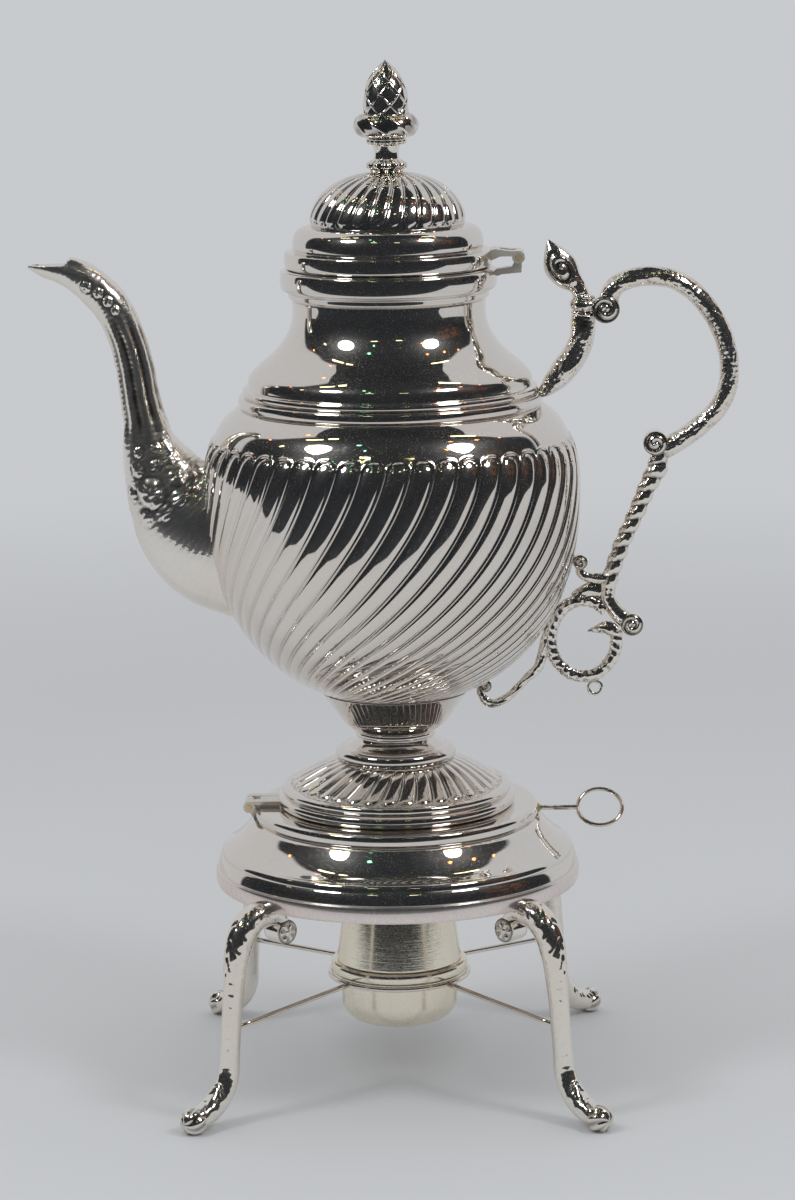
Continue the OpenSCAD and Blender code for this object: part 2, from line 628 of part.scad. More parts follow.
// Hinges: knuckles that alternate along the pin, with leaves drawn in the XZ plane
hinge_play = 0.3;
module across(outline, from, to) {
    translate([0, to, 0]) rotate([90, 0, 0]) linear_extrude(height = to - from) polygon(outline);
}
module bore(x, z, r, w) {
    translate([x, 0, z]) rotate([90, 0, 0]) cylinder(r = r, h = w, center = true);
}
module barrel(x, z, r, from, to) {
    translate([x, to, z]) rotate([90, 0, 0]) cylinder(r = r, h = to - from);
}

lid_pin_z = mouth_z + lid_pin_up;
lid_mid = lid_hinge_w * 0.22;
module lid_hinge_lower_leaf() {
    leaf = [[mouth_r + 3, mouth_z - 1.6], [collar_r - 1, mouth_z - 1.2], [lid_pin_x - 2.6, mouth_z - 0.2],
            [lid_pin_x - 1.2, lid_pin_z - 1.6], [lid_pin_x + 1.4, lid_pin_z - 1.8],
            [lid_pin_x + 1.2, mouth_z - 2.6], [collar_r + 2, mouth_z - 3.2], [mouth_r + 3, mouth_z - 5]];
    color(silver) difference() {
        union() {
            across(leaf, -lid_mid + hinge_play, lid_mid - hinge_play);
            barrel(lid_pin_x, lid_pin_z, lid_knuckle_r, -lid_mid + hinge_play, lid_mid - hinge_play);
        }
        bore(lid_pin_x, lid_pin_z, lid_pin_r, lid_hinge_w);
        turned(concat([[0, collar_z + 3.9]], bead(collar_r - 1.6, 1.6, collar_z + 4.4, mouth_z - 0.5),
            [[collar_r - 2.2, mouth_z], [0, mouth_z]]));
    }
}
module lid_hinge_upper_leaf() {
    leaf = [[lid_r - 3.4, step_z - 1.4], [lid_r + 1, step_z - 0.2], [lid_pin_x - 3, lid_pin_z + 2.5],
            [lid_pin_x, lid_pin_z + lid_knuckle_r], [lid_pin_x, lid_pin_z],
            [lid_pin_x - 2.2, lid_pin_z + 0.4], [lid_r + 3, step_z - 3.2], [lid_r - 3.4, step_z - 6]];
    color(silver) difference() {
        union() {
            for (side = [-1, 1]) {
                a = side < 0 ? -lid_hinge_w / 2 : lid_mid;
                b = side < 0 ? -lid_mid : lid_hinge_w / 2;
                across(leaf, a, b);
                barrel(lid_pin_x, lid_pin_z, lid_knuckle_r, a, b);
            }
            across([leaf[0], leaf[1],
                [lid_r + 3, step_z - 0.5], leaf[6], leaf[7]], -lid_hinge_w / 2, lid_hinge_w / 2);
        }
        bore(lid_pin_x, lid_pin_z, lid_pin_r + pin_play, lid_hinge_w + 1);
        lid_rim_solid();
    }
}
module lid_hinge_pin() {
    color(brass) barrel(lid_pin_x, lid_pin_z, lid_pin_r, -lid_hinge_w / 2 - 0.4, lid_hinge_w / 2 + 0.4);
}

// The lid: a rim band with a rounded step, a sleeve, a fluted dome and a pineapple finial
lid_outline = concat(
    [[lid_r - 1.4, lid_z]],
    bead(lid_r - 1.4, 1.4, lid_z + 0.2, step_z - 0.6),
    [[lid_step_r - 0.4, step_z]],
    arc([dome_r - 2.2, step_z + 1.6], [lid_step_r - dome_r + 2.2, lid_step_h - 2.2], 0, 76, 6),
    [[dome_r + 0.2, dome_z]]);
module lid_rim_solid() {
    turned(concat([[0, lid_z]], lid_outline, [[0, dome_z]]));
}
bezel_r = mouth_r - bezel_play;
module lid_rim() {
    color(silver) turned(concat(lid_outline,
        [[dome_r - 2, dome_z], [dome_r - 2, dome_z - 1.6], [lid_step_r - sheet - 0.6, step_z + 1],
         [lid_step_r - sheet - 0.6, lid_z + sheet], [bezel_r - sheet, lid_z + sheet],
         [bezel_r - sheet, lid_z]]));
}
module lid_bezel() {
    color(silver) turned([[bezel_r - sheet, lid_z - bezel_h], [bezel_r - 0.4, lid_z - bezel_h],
        [bezel_r, lid_z - bezel_h + 0.6], [bezel_r, lid_z], [bezel_r - sheet, lid_z]]);
}
dome_rings = 5;
dome_crown_r = 6;
crown_z = dome_z + dome_h * cos(asin(dome_crown_r / dome_r));
crown_t = 1.4;
washer_r = 6;
washer_t = 0.8;
module lid_dome() {
    outer = [for (i = [0:dome_rings]) let(a = 90 - (90 - asin(dome_crown_r / dome_r)) * (1 - i / dome_rings),
            t = i / dome_rings)
        [dome_r * sin(a), dome_z + dome_h * cos(a), dome_flute_depth * (0.3 + 0.7 * t), dome_swirl * t]];
    inner = concat([[finial_screw_r + 0.1, crown_z], [finial_screw_r + 0.1, crown_z - crown_t],
        [washer_r + 0.8, crown_z - crown_t]],
        [for (a = [35, 65, 90]) [(dome_r - sheet - dome_flute_depth) * sin(a),
        dome_z + (dome_h - 1.6) * cos(a)]]);
    color(silver) fluted_shell(dome_flutes, outer, inner, broad_flute);
}
module finial_stem() {
    color(cast_silver) turned(concat(
        [[0, crown_z], [finial_base_r - 2.2, crown_z], [finial_base_r - 1.6, crown_z + 1.2]],
        bead(finial_base_r - 1.3, 1.3, crown_z + 1.5, crown_z + 4.3, 5),
        [[5.3, crown_z + 5.6], [5.1, pine_z - 15], [5.6, pine_z - 12.6]],
        bead(7, 1.1, pine_z - 12.2, pine_z - 9.8, 4),
        arc([pine_r, pine_z - 4.7], [finial_cup_r - pine_r, 4.7], -90, 90, 8),
        [[0, pine_z]]));
    color(cast_silver) translate([0, 0, crown_z - 7]) cylinder(r = finial_screw_r, h = 8);
}
module finial_pineapple() {
    rows = 9;
    columns = 2 * pine_scales;
    function swell(t) = pine_r * (1 - pow(t, 3.1));
    points = [for (i = [0:rows - 1]) for (k = [0:columns - 1])
        let(t = i / rows, r = swell(t) * (i > 0 && (i + k) % 2 == 0 ? 0.9 : 1), a = 360 * k / columns)
        [r * cos(a), r * sin(a), pine_z + pine_h * t]];
    function at(i, k) = i * columns + k % columns;
    faces = concat(
        [for (i = [0:rows - 2]) for (k = [0:columns - 1])
            for (f = (i + k) % 2 == 0
                ? [[at(i, k), at(i + 1, k), at(i, k + 1)], [at(i + 1, k), at(i + 1, k + 1), at(i, k + 1)]]
                : [[at(i, k), at(i + 1, k), at(i + 1, k + 1)],
                    [at(i, k), at(i + 1, k + 1), at(i, k + 1)]]) f],
        [for (k = [0:columns - 1]) [at(rows - 1, k), rows * columns, at(rows - 1, k + 1)]],
        [[for (k = [0:columns - 1]) k]]);
    color(cast_silver) polyhedron(concat(points, [[0, 0, pine_z + pine_h]]), faces);
}
module finial_nut() {
    ceiling_z = crown_z - crown_t;
    color(brass) difference() {
        union() {
            translate([0, 0, ceiling_z - washer_t - 3.2]) cylinder(r = 4, h = 3.4, $fn = 6);
            translate([0, 0, ceiling_z - washer_t]) cylinder(r = washer_r, h = washer_t);
        }
        translate([0, 0, ceiling_z - 5]) cylinder(r = finial_screw_r, h = 6);
    }
}

// The stand: a plateau on a swept top with a rim band, four scrolled legs, and a wire burner holder
rim_top_z = rim_z + rim_h;
sweep_z = stand_h - plateau_wall_h;
stand_outline = concat(
    [[plateau_r - 1, stand_h]],
    bead(plateau_r - 0.6, 0.9, stand_h - 0.4, sweep_z + 0.6),
    [[plateau_r + 1.2, sweep_z]],
    [for (p = curve([[plateau_r + 1.8, sweep_z - 0.5, 0, 0], [plateau_r + 5.2, sweep_z - 4.6, 0, 0],
        [rim_r - 8, rim_top_z + 10.6, 0, 0], [rim_r - 4.6, rim_top_z + 8.2, 0, 0]], 3)) [p[0], p[1]]],
    arc([rim_r - 4.6, rim_top_z + 5], [1.9, 2.9], 80, 0, 4),
    [[rim_r - 2.2, rim_top_z + 4.4], [rim_r - 1.4, rim_top_z + 2.2], [rim_r - 0.8, rim_top_z]]);
slot_play = 0.8;
module stand_top() {
    color(silver) difference() {
        turned(concat([[vent_r, stand_h]], stand_outline,
            [[rim_r - 2.8, rim_top_z], [rim_r - 4, rim_top_z + 5], [rim_r - 5.8, rim_top_z + 7.4],
             [rim_r - 9.4, rim_top_z + 9.8], [plateau_r + 4.2, sweep_z - 5.9],
             [plateau_r + 0.6, sweep_z - 1.6], [plateau_r - 1.6, sweep_z],
             [plateau_r - 1.6, stand_h - stand_sheet], [vent_r, stand_h - stand_sheet]]));
        translate([base_inner_r - lug_t - slot_play, -lug_w / 2 - slot_play, stand_h - 2 * stand_sheet])
            cube([lug_t + 2 * slot_play, lug_w + 2 * slot_play, 3 * stand_sheet]);
        translate([plateau_r - 5, 0, lock_z]) rotate([0, 90, 0]) cylinder(r = guide_r, h = 10);
    }
}
module stand_rim() {
    color(silver) turned(concat(
        [[rim_r - 2.8, rim_top_z], [rim_r - 2.8, rim_z + 0.6], [rim_r - 2.2, rim_z],
        [rim_r - 0.6, rim_z]],
        bead(rim_r - 0.6, 0.6, rim_z + 0.2, rim_top_z - 0.4),
        [[rim_r - 0.8, rim_top_z]]));
}

leg_stations = [
    [rim_r - 10.6, rim_z - 7, 3, 4.2], [rim_r - 6, rim_z - 3.4, 4.2, 4.6],
    [rim_r - 0.6, rim_z - 1.8, 5.2, 5.6], [rim_r + 5.4, rim_z - 2.6, 5.6, 5.7],
    [rim_r + 11, rim_z - 7.6, 5.6, 5.5], [rim_r + 14.4, rim_z - 16.4, 5, 5],
    [rim_r + 16.4, rim_z * 0.66, leg_t + 0.3, leg_t + 0.3], [rim_r + 18, rim_z * 0.5, leg_t, leg_t],
    [rim_r + 19.2, rim_z * 0.35, leg_t, leg_t],
    [rim_r + toe_out - 19, rim_z * 0.23, leg_t + 0.3, leg_t + 0.3],
    [rim_r + toe_out - 15.2, 12.6, 4.7, 4.7],
    [rim_r + toe_out - 9, 7.6, 4.6, 4.8], [rim_r + toe_out - 1, toe_r - 0.5, 4.4, 4.8]];
leg_volute = [rim_r - 9.5, rim_z - 10];
toe_flat = 0.6;
leg_angles = [225, 315, 45, 135];
spoke_in = [holder_r, holder_z];
spoke_out = [rim_r + 15, rim_z * 0.46];
spoke_run = norm(spoke_out - spoke_in);
spoke_fall = atan2(spoke_out[1] - spoke_in[1], spoke_out[0] - spoke_in[0]);
module spoke_wire() {
    translate([spoke_in[0], 0, spoke_in[1]]) rotate([0, 90 - spoke_fall, 0]) cylinder(r = wire_r,
        h = spoke_run);
}
module leg(turn) {
    color(cast_silver) rotate([0, 0, leg_angles[turn]]) difference() {
        one_mesh() difference() {
            union() {
                cast_bar(leg_stations, 1, 8);
                volute(leg_volute[0], leg_volute[1], 5.1, 9.6);
                translate([rim_r + toe_out, 0, toe_r - toe_flat]) sphere(r = toe_r, $fn = 12);
            }
            translate([0, -20, rim_z]) cube([rim_r + 40, 40, 20]);
            translate([rim_r, -20, -20]) cube([toe_out + 20, 40, 20]);
        }
        spoke_wire();
    }
}
module spoke(turn) {
    color(silver) rotate([0, 0, leg_angles[turn]]) difference() {
        spoke_wire();
        ring_solid();
    }
}
module ring_solid() {
    translate([0, 0, holder_z]) rotate_extrude() translate([holder_r, 0]) circle(r = wire_r, $fn = 32);
}
module burner_ring() {
    color(silver) ring_solid();
}

// The tilting hinge at -X and the lock pin at +X
tilt_pin_x = plateau_r + tilt_pin_out;
tilt_pin_z = stand_h - 0.2;
tilt_mid = tilt_hinge_w * 0.2;
module tilt_leaf() {
    leaf = [[-foot_r + 1.4, foot_z + 0.6], [-foot_r + 1.4, foot_z + 2],
        [-tilt_pin_x - 1, tilt_pin_z + tilt_knuckle_r],
            [-tilt_pin_x - 1.6, tilt_pin_z + 1.4], [-tilt_pin_x, tilt_pin_z],
            [-tilt_pin_x + 1.8, tilt_pin_z + 1],
            [-tilt_pin_x + 3.4, foot_z + 0.6]];
    color(silver) difference() {
        union() {
            for (side = [-1, 1]) {
                a = side < 0 ? -tilt_hinge_w / 2 : tilt_mid;
                b = side < 0 ? -tilt_mid : tilt_hinge_w / 2;
                across(leaf, a, b);
                barrel(-tilt_pin_x, tilt_pin_z, tilt_knuckle_r, a, b);
            }
            across([leaf[0], leaf[1],
                [-tilt_pin_x + 4.4, foot_z + 1.8], leaf[6]], -tilt_hinge_w / 2, tilt_hinge_w / 2);
        }
        bore(-tilt_pin_x, tilt_pin_z, tilt_pin_r + pin_play, tilt_hinge_w + 1);
        turned(concat([[0, foot_z]], base_outline, [[0, cone_z]]));
    }
}
module tilt_bracket() {
    tab = [[-tilt_pin_x + tilt_knuckle_r - 0.2, tilt_pin_z],
        [-tilt_pin_x - 0.4, tilt_pin_z - tilt_knuckle_r + 0.2],
           [-plateau_r - 1.6, sweep_z + 0.2],
           [-plateau_r + 1, sweep_z + 0.2],
           [-plateau_r + 1, stand_h - 3]];
    color(silver) difference() {
        union() {
            across(tab, -tilt_mid + hinge_play, tilt_mid - hinge_play);
            barrel(-tilt_pin_x, tilt_pin_z, tilt_knuckle_r, -tilt_mid + hinge_play,
                tilt_mid - hinge_play);
        }
        bore(-tilt_pin_x, tilt_pin_z, tilt_pin_r, tilt_hinge_w);
        turned(concat([[0, stand_h]], stand_outline, [[0, rim_top_z]]));
    }
}
module tilt_pin() {
    color(brass) barrel(-tilt_pin_x, tilt_pin_z, tilt_pin_r, -tilt_hinge_w / 2 - 0.4,
        tilt_hinge_w / 2 + 0.4);
}
guide_r = lock_r + 0.9;
guide_in = base_inner_r + slot_play + 1;
guide_out = plateau_r + 1;
lock_tip_x = guide_in + 4;
lock_ring_x = plateau_r + 26;
pull_wire_r = 0.9;
module lock_guide() {
    color(brass) translate([guide_in, 0, lock_z]) rotate([0, 90, 0]) difference() {
        cylinder(r = guide_r, h = guide_out - guide_in);
        translate([0, 0, -1]) cylinder(r = lock_r + pin_play, h = guide_out - guide_in + 2);
    }
}
pull_mid_r = pull_ring_r - pull_wire_r;
module pull_ring_solid() {
    translate([lock_ring_x, 0, lock_z]) rotate([40, 0, 0])
        rotate_extrude() translate([pull_mid_r, 0]) circle(r = pull_wire_r, $fn = 32);
}
module lock_pin() {
    color(silver) difference() {
        translate([lock_tip_x, 0, lock_z]) rotate([0, 90, 0]) union() {
            cylinder(r1 = lock_r - 0.4, r2 = lock_r, h = 0.8);
            translate([0, 0, 0.8]) cylinder(r = lock_r, h = lock_ring_x - pull_mid_r - lock_tip_x - 0.8);
        }
        pull_ring_solid();
    }
}
module pull_ring() {
    color(silver) pull_ring_solid();
}

// The burner: a cup with a bead that rests on the ring, a tapered cover, a wick tube and its wick
bead_z = holder_z + wire_r + 0.02;
bead_r = holder_r - 0.3;
font_z = holder_z - font_h + 1.1;
module burner_font() {
    color(silver) turned(concat(
        [[0, font_z], [font_r - 8.4, font_z]],
        arc([font_r - 8.4, font_z + 9], [8.2, 9], -78, 0, 6),
        [[font_r, bead_z], [font_r, bead_z + bead_h - 1], [font_r - sheet, bead_z + bead_h - 1]],
        arc([font_r - 8.4, font_z + 9], [8.2 - sheet, 9 - sheet], 0, -90, 6),
        [[0, font_z + sheet]]));
}
module burner_bead() {
    color(silver) turned(concat([[font_r, bead_z]], [[bead_r - 0.6, bead_z]],
        bead(bead_r - 0.6, 0.6, bead_z + 0.2, bead_z + bead_h - 0.4),
        [[bead_r - 1.4, bead_z + bead_h], [font_r, bead_z + bead_h]]));
}
cover_z = bead_z + bead_h;
module burner_cover() {
    color(silver) turned(concat([[font_r - sheet, cover_z], [font_r + 1.6, cover_z]],
        [[font_r + 1.2, cover_z + 3], [font_r - 0.3, cover_z + 14],
        [font_r - 1.6, cover_z + cover_h - 1.6]],
        [[font_r - 3, cover_z + cover_h], [wick_tube_r + 3, cover_z + cover_h],
         [wick_tube_r + 3, cover_z + cover_h - sheet], [font_r - 3.4, cover_z + cover_h - sheet],
         [font_r - 1.5, cover_z + 14], [font_r - sheet, cover_z + 3]]));
}
tube_wall = 0.8;
module wick_holder() {
    color(brass) turned([[wick_tube_r - tube_wall, cover_z - 4], [wick_tube_r, cover_z - 4],
        [wick_tube_r, cover_z - 1], [font_r, cover_z - 1], [font_r, cover_z], [wick_tube_r, cover_z],
        [wick_tube_r, cover_z + cover_h + 1], [wick_tube_r - tube_wall, cover_z + cover_h + 1]]);
}
module wick() {
    color("#e9e2cf") translate([0, 0, font_z + 6])
        cylinder(r = wick_tube_r - tube_wall, h = cover_z + cover_h + 4 - font_z - 6);
}

bowl();
neck();
collar();
spout();
handle_arm();
thumb_leaf();
handle_knot();
handle_scroll();
handle_stem();
finger_loop();
handle_tail();
foot_cup();
foot_knop();
foot_cone();
foot_base();
latch_lug();
tilt_leaf();
lid_hinge_lower_leaf();
lid_hinge_pin();
lid_hinge_upper_leaf();
lid_rim();
lid_dome();
lid_bezel();
finial_pineapple();
finial_stem();
finial_nut();
stand_top();
stand_rim();
leg(0);  // leg_1
leg(1);  // leg_2
leg(2);  // leg_3
leg(3);  // leg_4
spoke(0);  // spoke_1
spoke(1);  // spoke_2
spoke(2);  // spoke_3
spoke(3);  // spoke_4
burner_ring();
tilt_bracket();
tilt_pin();
lock_guide();
lock_pin();
pull_ring();
burner_font();
burner_bead();
burner_cover();
wick_holder();
wick();
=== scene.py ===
import math

import bpy
import numpy as np
from mathutils import Matrix, Vector


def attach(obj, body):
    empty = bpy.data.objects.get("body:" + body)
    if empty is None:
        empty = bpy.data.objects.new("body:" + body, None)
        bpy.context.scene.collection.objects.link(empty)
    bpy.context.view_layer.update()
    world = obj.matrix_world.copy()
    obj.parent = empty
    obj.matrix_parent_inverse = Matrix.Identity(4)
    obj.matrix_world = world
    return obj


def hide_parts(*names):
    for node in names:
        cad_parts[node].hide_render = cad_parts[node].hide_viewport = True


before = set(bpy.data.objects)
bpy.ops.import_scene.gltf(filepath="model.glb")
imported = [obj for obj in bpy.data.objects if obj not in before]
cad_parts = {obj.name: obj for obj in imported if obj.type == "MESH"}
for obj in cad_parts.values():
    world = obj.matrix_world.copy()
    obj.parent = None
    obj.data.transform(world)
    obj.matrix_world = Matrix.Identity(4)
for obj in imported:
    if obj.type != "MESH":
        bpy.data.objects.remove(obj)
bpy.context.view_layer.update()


# The stand's top: a plateau with a moulded wall and a hollow sweep down to the rim, spun from one
# sheet of silver-plated metal. The kettle's foot stands on it, over the hole that lets the heat up.
rim_z = 84.6
rim_r = 75.8
rim_top = rim_z + 7.1
stand_h = 116.5
plateau_r = 58.6
sweep_z = stand_h - 5.6
vent_r = 36
stand_sheet = 1


def offset(x, z, rows):
    """Points [x, z] of an outline or stations [x, z, half depth, half width] of a bar, from rows that
    count from the point (x, z). A station with one size is round."""
    return [[x + dx, z + dz, *sizes, *sizes[-1:]][:4] for dx, dz, *sizes in rows]


def curve(stations, steps):
    """A Catmull-Rom curve: between stations b and c, with neighbours a and d, the point at t is
    (2b + (c - a)t + (2a - 5b + 4c - d)t^2 + (3b - a - 3c + d)t^3) / 2."""
    s = np.array(stations, float)
    last = len(s) - 1
    a, b, c, d = (s[np.clip(np.arange(last) + k, 0, last)][:, None] for k in (-1, 0, 1, 2))
    t = (np.arange(steps) / steps)[None, :, None]
    inner = (2 * b + (c - a) * t + (2 * a - 5 * b + 4 * c - d) * t**2
             + (3 * b - a - 3 * c + d) * t**3) / 2
    return np.vstack([inner.reshape(-1, s.shape[1]), s[-1:]])


def bead(r, bulge, low, high, steps=14, flat=1.0):
    """A half-round moulding: r + bulge sin(t)^flat, and the height swings from low to high as
    cos(t). With flat under 1 it is a band whose edges are rolled."""
    t = np.linspace(0, np.pi, steps + 1)
    z = (low + high) / 2 + (low - high) / 2 * np.cos(t)
    return np.stack([r + bulge * np.sin(t).clip(0) ** flat, z], 1)


def arc(centre, size, start, stop, steps=14, power=1.0):
    """Points c + size (cos a, sin a) along an ellipse, a in degrees; a power under 1 of the cosine
    and the sine makes it squarer."""
    a = np.radians(np.linspace(start, stop, steps + 1))
    way = np.stack([np.cos(a), np.sin(a)], 1)
    return np.array(centre) + np.array(size) * np.sign(way) * np.abs(way) ** power


def eased(outline, radius, shut):
    """Rounds the sharp corners of an outline. A corner p between directions a and b becomes the
    parabola (1-t)^2 (p + ra) + 2t(1-t) p + t^2 (p + rb), with one more point on each long side."""
    p = outline[np.r_[True, np.linalg.norm(np.diff(outline, axis=0), axis=1) > 1e-6]]
    back, on = np.roll(p, 1, 0) - p, np.roll(p, -1, 0) - p
    far_back, far_on = (np.linalg.norm(v, axis=1, keepdims=True) for v in (back, on))
    a, b = back / far_back, on / far_on
    sharp = (np.sum(a * b, 1) > -0.9)
    if not shut:
        sharp[[0, -1]] = False
    reach = np.minimum(radius, 0.4 * np.minimum(far_back, far_on))
    t = np.linspace(0, 1, 5)[None, :, None]
    corner = p[:, None] + reach[:, None] * ((1 - t) ** 2 * a[:, None] + t**2 * b[:, None])
    rows = np.concatenate([(p + 1.9 * reach * a)[:, None], corner, (p + 1.9 * reach * b)[:, None]], 1)
    rows[~sharp, 3] = p[~sharp]
    kept = np.repeat(sharp[:, None], 7, 1)
    kept[~sharp, 3] = True
    kept[:, 0] &= (far_back > 4.5 * reach)[:, 0]
    kept[:, 6] &= (far_on > 4.5 * reach)[:, 0]
    return rows[kept]


def skin(grid, hollow=0, ends=None, ring=False):
    """A shut skin over a grid of points, rows by columns, closed round its columns. Its rows close
    on each other if ring, else a fan of triangles shuts each end, round its middle or a given point.
    It faces outwards: if its volume, the sum of a . (b x c) / 6 over its triangles, is negative,
    every face is turned."""
    rows, columns = grid.shape[:2]
    i, j = np.arange(rows if ring else rows - 1)[:, None], np.arange(columns)[None]

    def at(row, column):
        return (row % rows) * columns + column % columns

    quads = np.stack(np.broadcast_arrays(at(i, j), at(i, j + 1), at(i + 1, j + 1), at(i + 1, j)), -1)
    quads = quads.reshape(-1, 4)
    points = grid.reshape(-1, 3)
    hollow = np.zeros(grid.shape[:2]) + hollow
    depth = hollow.ravel()
    fans = np.zeros((0, 3), int)
    if not ring:
        points = np.vstack([points, [grid[0].mean(0), grid[-1].mean(0)] if ends is None else ends])
        depth = np.r_[depth, hollow[0].mean(), hollow[-1].mean()]
        k = np.arange(columns)
        first = np.stack([at(0, k + 1), at(0, k), np.full(columns, rows * columns)], 1)
        last = np.stack([at(rows - 1, k), at(rows - 1, k + 1), np.full(columns, rows * columns + 1)], 1)
        fans = np.vstack([first, last])
    triangles = np.vstack([quads[:, :3], quads[:, [0, 2, 3]], fans])
    a, b, c = (points[triangles[:, k]] for k in range(3))
    if np.sum(a * np.cross(b, c)) < 0:
        quads, fans = quads[:, ::-1], fans[:, ::-1]
    return points, quads, fans, depth


def around(r, z, a):
    """The points (r cos a, r sin a, z), rows of r and z by columns of a."""
    return np.stack(np.broadcast_arrays(r * np.cos(a), r * np.sin(a), z + 0 * a), -1)


def unit(x):
    """x, held between 0 and 1."""
    return np.clip(x, 0, 1)


def turned(outline, radius=0.3, steps=192, relief=None):
    """A spun or turned piece: its outline [r, z] swept round the axis, (r cos a, r sin a, z). It runs
    from axis to axis or closes on itself. A relief is added to r: relief(outline, a)."""
    outline = np.vstack(outline)
    shut = max(outline[0, 0], outline[-1, 0]) > 1e-6
    line = eased(outline, radius, shut)
    ends = None if shut else [[0, 0, line[0, 1]], [0, 0, line[-1, 1]]]
    line = line if shut else line[1:-1]
    a = np.arange(steps) / steps * 2 * np.pi
    raised = np.zeros((len(line), steps)) if relief is None else relief(line, a)
    r = line[:, :1] + raised
    return skin(around(r, line[:, 1:], a), unit(-2.2 * raised), ends, ring=shut)


def placed(name, data):
    """A new object in the scene's collection."""
    made = bpy.data.objects.new(name, data)
    bpy.context.scene.collection.objects.link(made)
    return made


def piece(node, how, skins, material, body):
    """Puts skins, given in millimetres, into one mesh named for its node and how it is made. It rides
    on its body, replaces the node and takes the slot of its metal, or the wick's."""
    starts = np.cumsum([0] + [len(s[0]) for s in skins])
    points = np.vstack([s[0] for s in skins]) / 1000
    quads = np.vstack([s[1] + start for s, start in zip(skins, starts)])
    fans = np.vstack([s[2] + start for s, start in zip(skins, starts)])
    mesh = bpy.data.meshes.new(f"{node}_{how}")
    mesh.vertices.add(len(points))
    mesh.vertices.foreach_set("co", points.ravel().astype(np.float32))
    mesh.loops.add(quads.size + fans.size)
    mesh.loops.foreach_set("vertex_index", np.r_[quads.ravel(), fans.ravel()].astype(np.int32))
    mesh.polygons.add(len(quads) + len(fans))
    corners = np.r_[np.arange(len(quads)) * 4, quads.size + np.arange(len(fans)) * 3]
    mesh.polygons.foreach_set("loop_start", corners.astype(np.int32))
    mesh.update(calc_edges=True)
    mesh.polygons.foreach_set("use_smooth", np.ones(len(mesh.polygons), bool))
    mesh.attributes.new("hollow", "FLOAT", "POINT").data.foreach_set(
        "value", np.concatenate([s[3] for s in skins]).astype(np.float32))
    mesh.materials.append(material)
    made = placed(mesh.name, mesh)
    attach(made, body)
    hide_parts(node)


class Value:
    """A number or colour on its way through a shader. +, - and * between values or plain numbers each
    add one Math node, as maths() does for any other operation. node() adds any other kind."""

    def __init__(self, tree, socket):
        self.tree, self.socket = tree, socket

    def node(self, kind, inputs=None, output=0, **settings):
        made = self.tree.nodes.new("ShaderNode" + kind)
        for name, setting in settings.items():
            setattr(made, name, setting)
        for name, fed in (inputs or {}).items():
            if isinstance(fed, Value):
                self.tree.links.new(fed.socket, made.inputs[name])
            else:
                made.inputs[name].default_value = fed
        return Value(self.tree, made.outputs[output] if made.outputs else None)

    def maths(self, operation, *others, clamp=False):
        return self.node("Math", dict(enumerate((self, *others))), operation=operation,
                         use_clamp=clamp)

    def __add__(self, other):
        return self.maths("ADD", other)

    def __sub__(self, other):
        return self.maths("SUBTRACT", other)

    def __rsub__(self, other):
        return self.node("Math", {0: other, 1: self}, operation="SUBTRACT")

    def __mul__(self, other):
        return self.maths("MULTIPLY", other)

    __radd__, __rmul__ = __add__, __mul__

    def step(self, low, high):
        """0 below low, 1 above high, and smooth in between."""
        return self.node("MapRange", {"Value": self, "From Min": low, "From Max": high},
                         interpolation_type="SMOOTHSTEP")

    def noise(self, scale, detail=2, rough=0.5, stretch=None):
        place = self
        if stretch:
            place = self.node("Mapping", {"Vector": self, "Scale": stretch})
        return self.node("TexNoise", {"Vector": place, "Scale": scale, "Detail": detail,
                                      "Roughness": rough})

    def mix(self, first, second):
        """The colour that lies this value's share of the way from first to second."""
        return self.node("Mix", {0: self, 6: first, 7: second}, 2, data_type="RGBA")


def material(name):
    """A new material with its tree cleared, and the place on the piece, where its shader starts."""
    made = bpy.data.materials.new(name)
    made.use_nodes = True
    made.node_tree.nodes.clear()
    return made, Value(made.node_tree, None).node("TexCoord", output="Object")


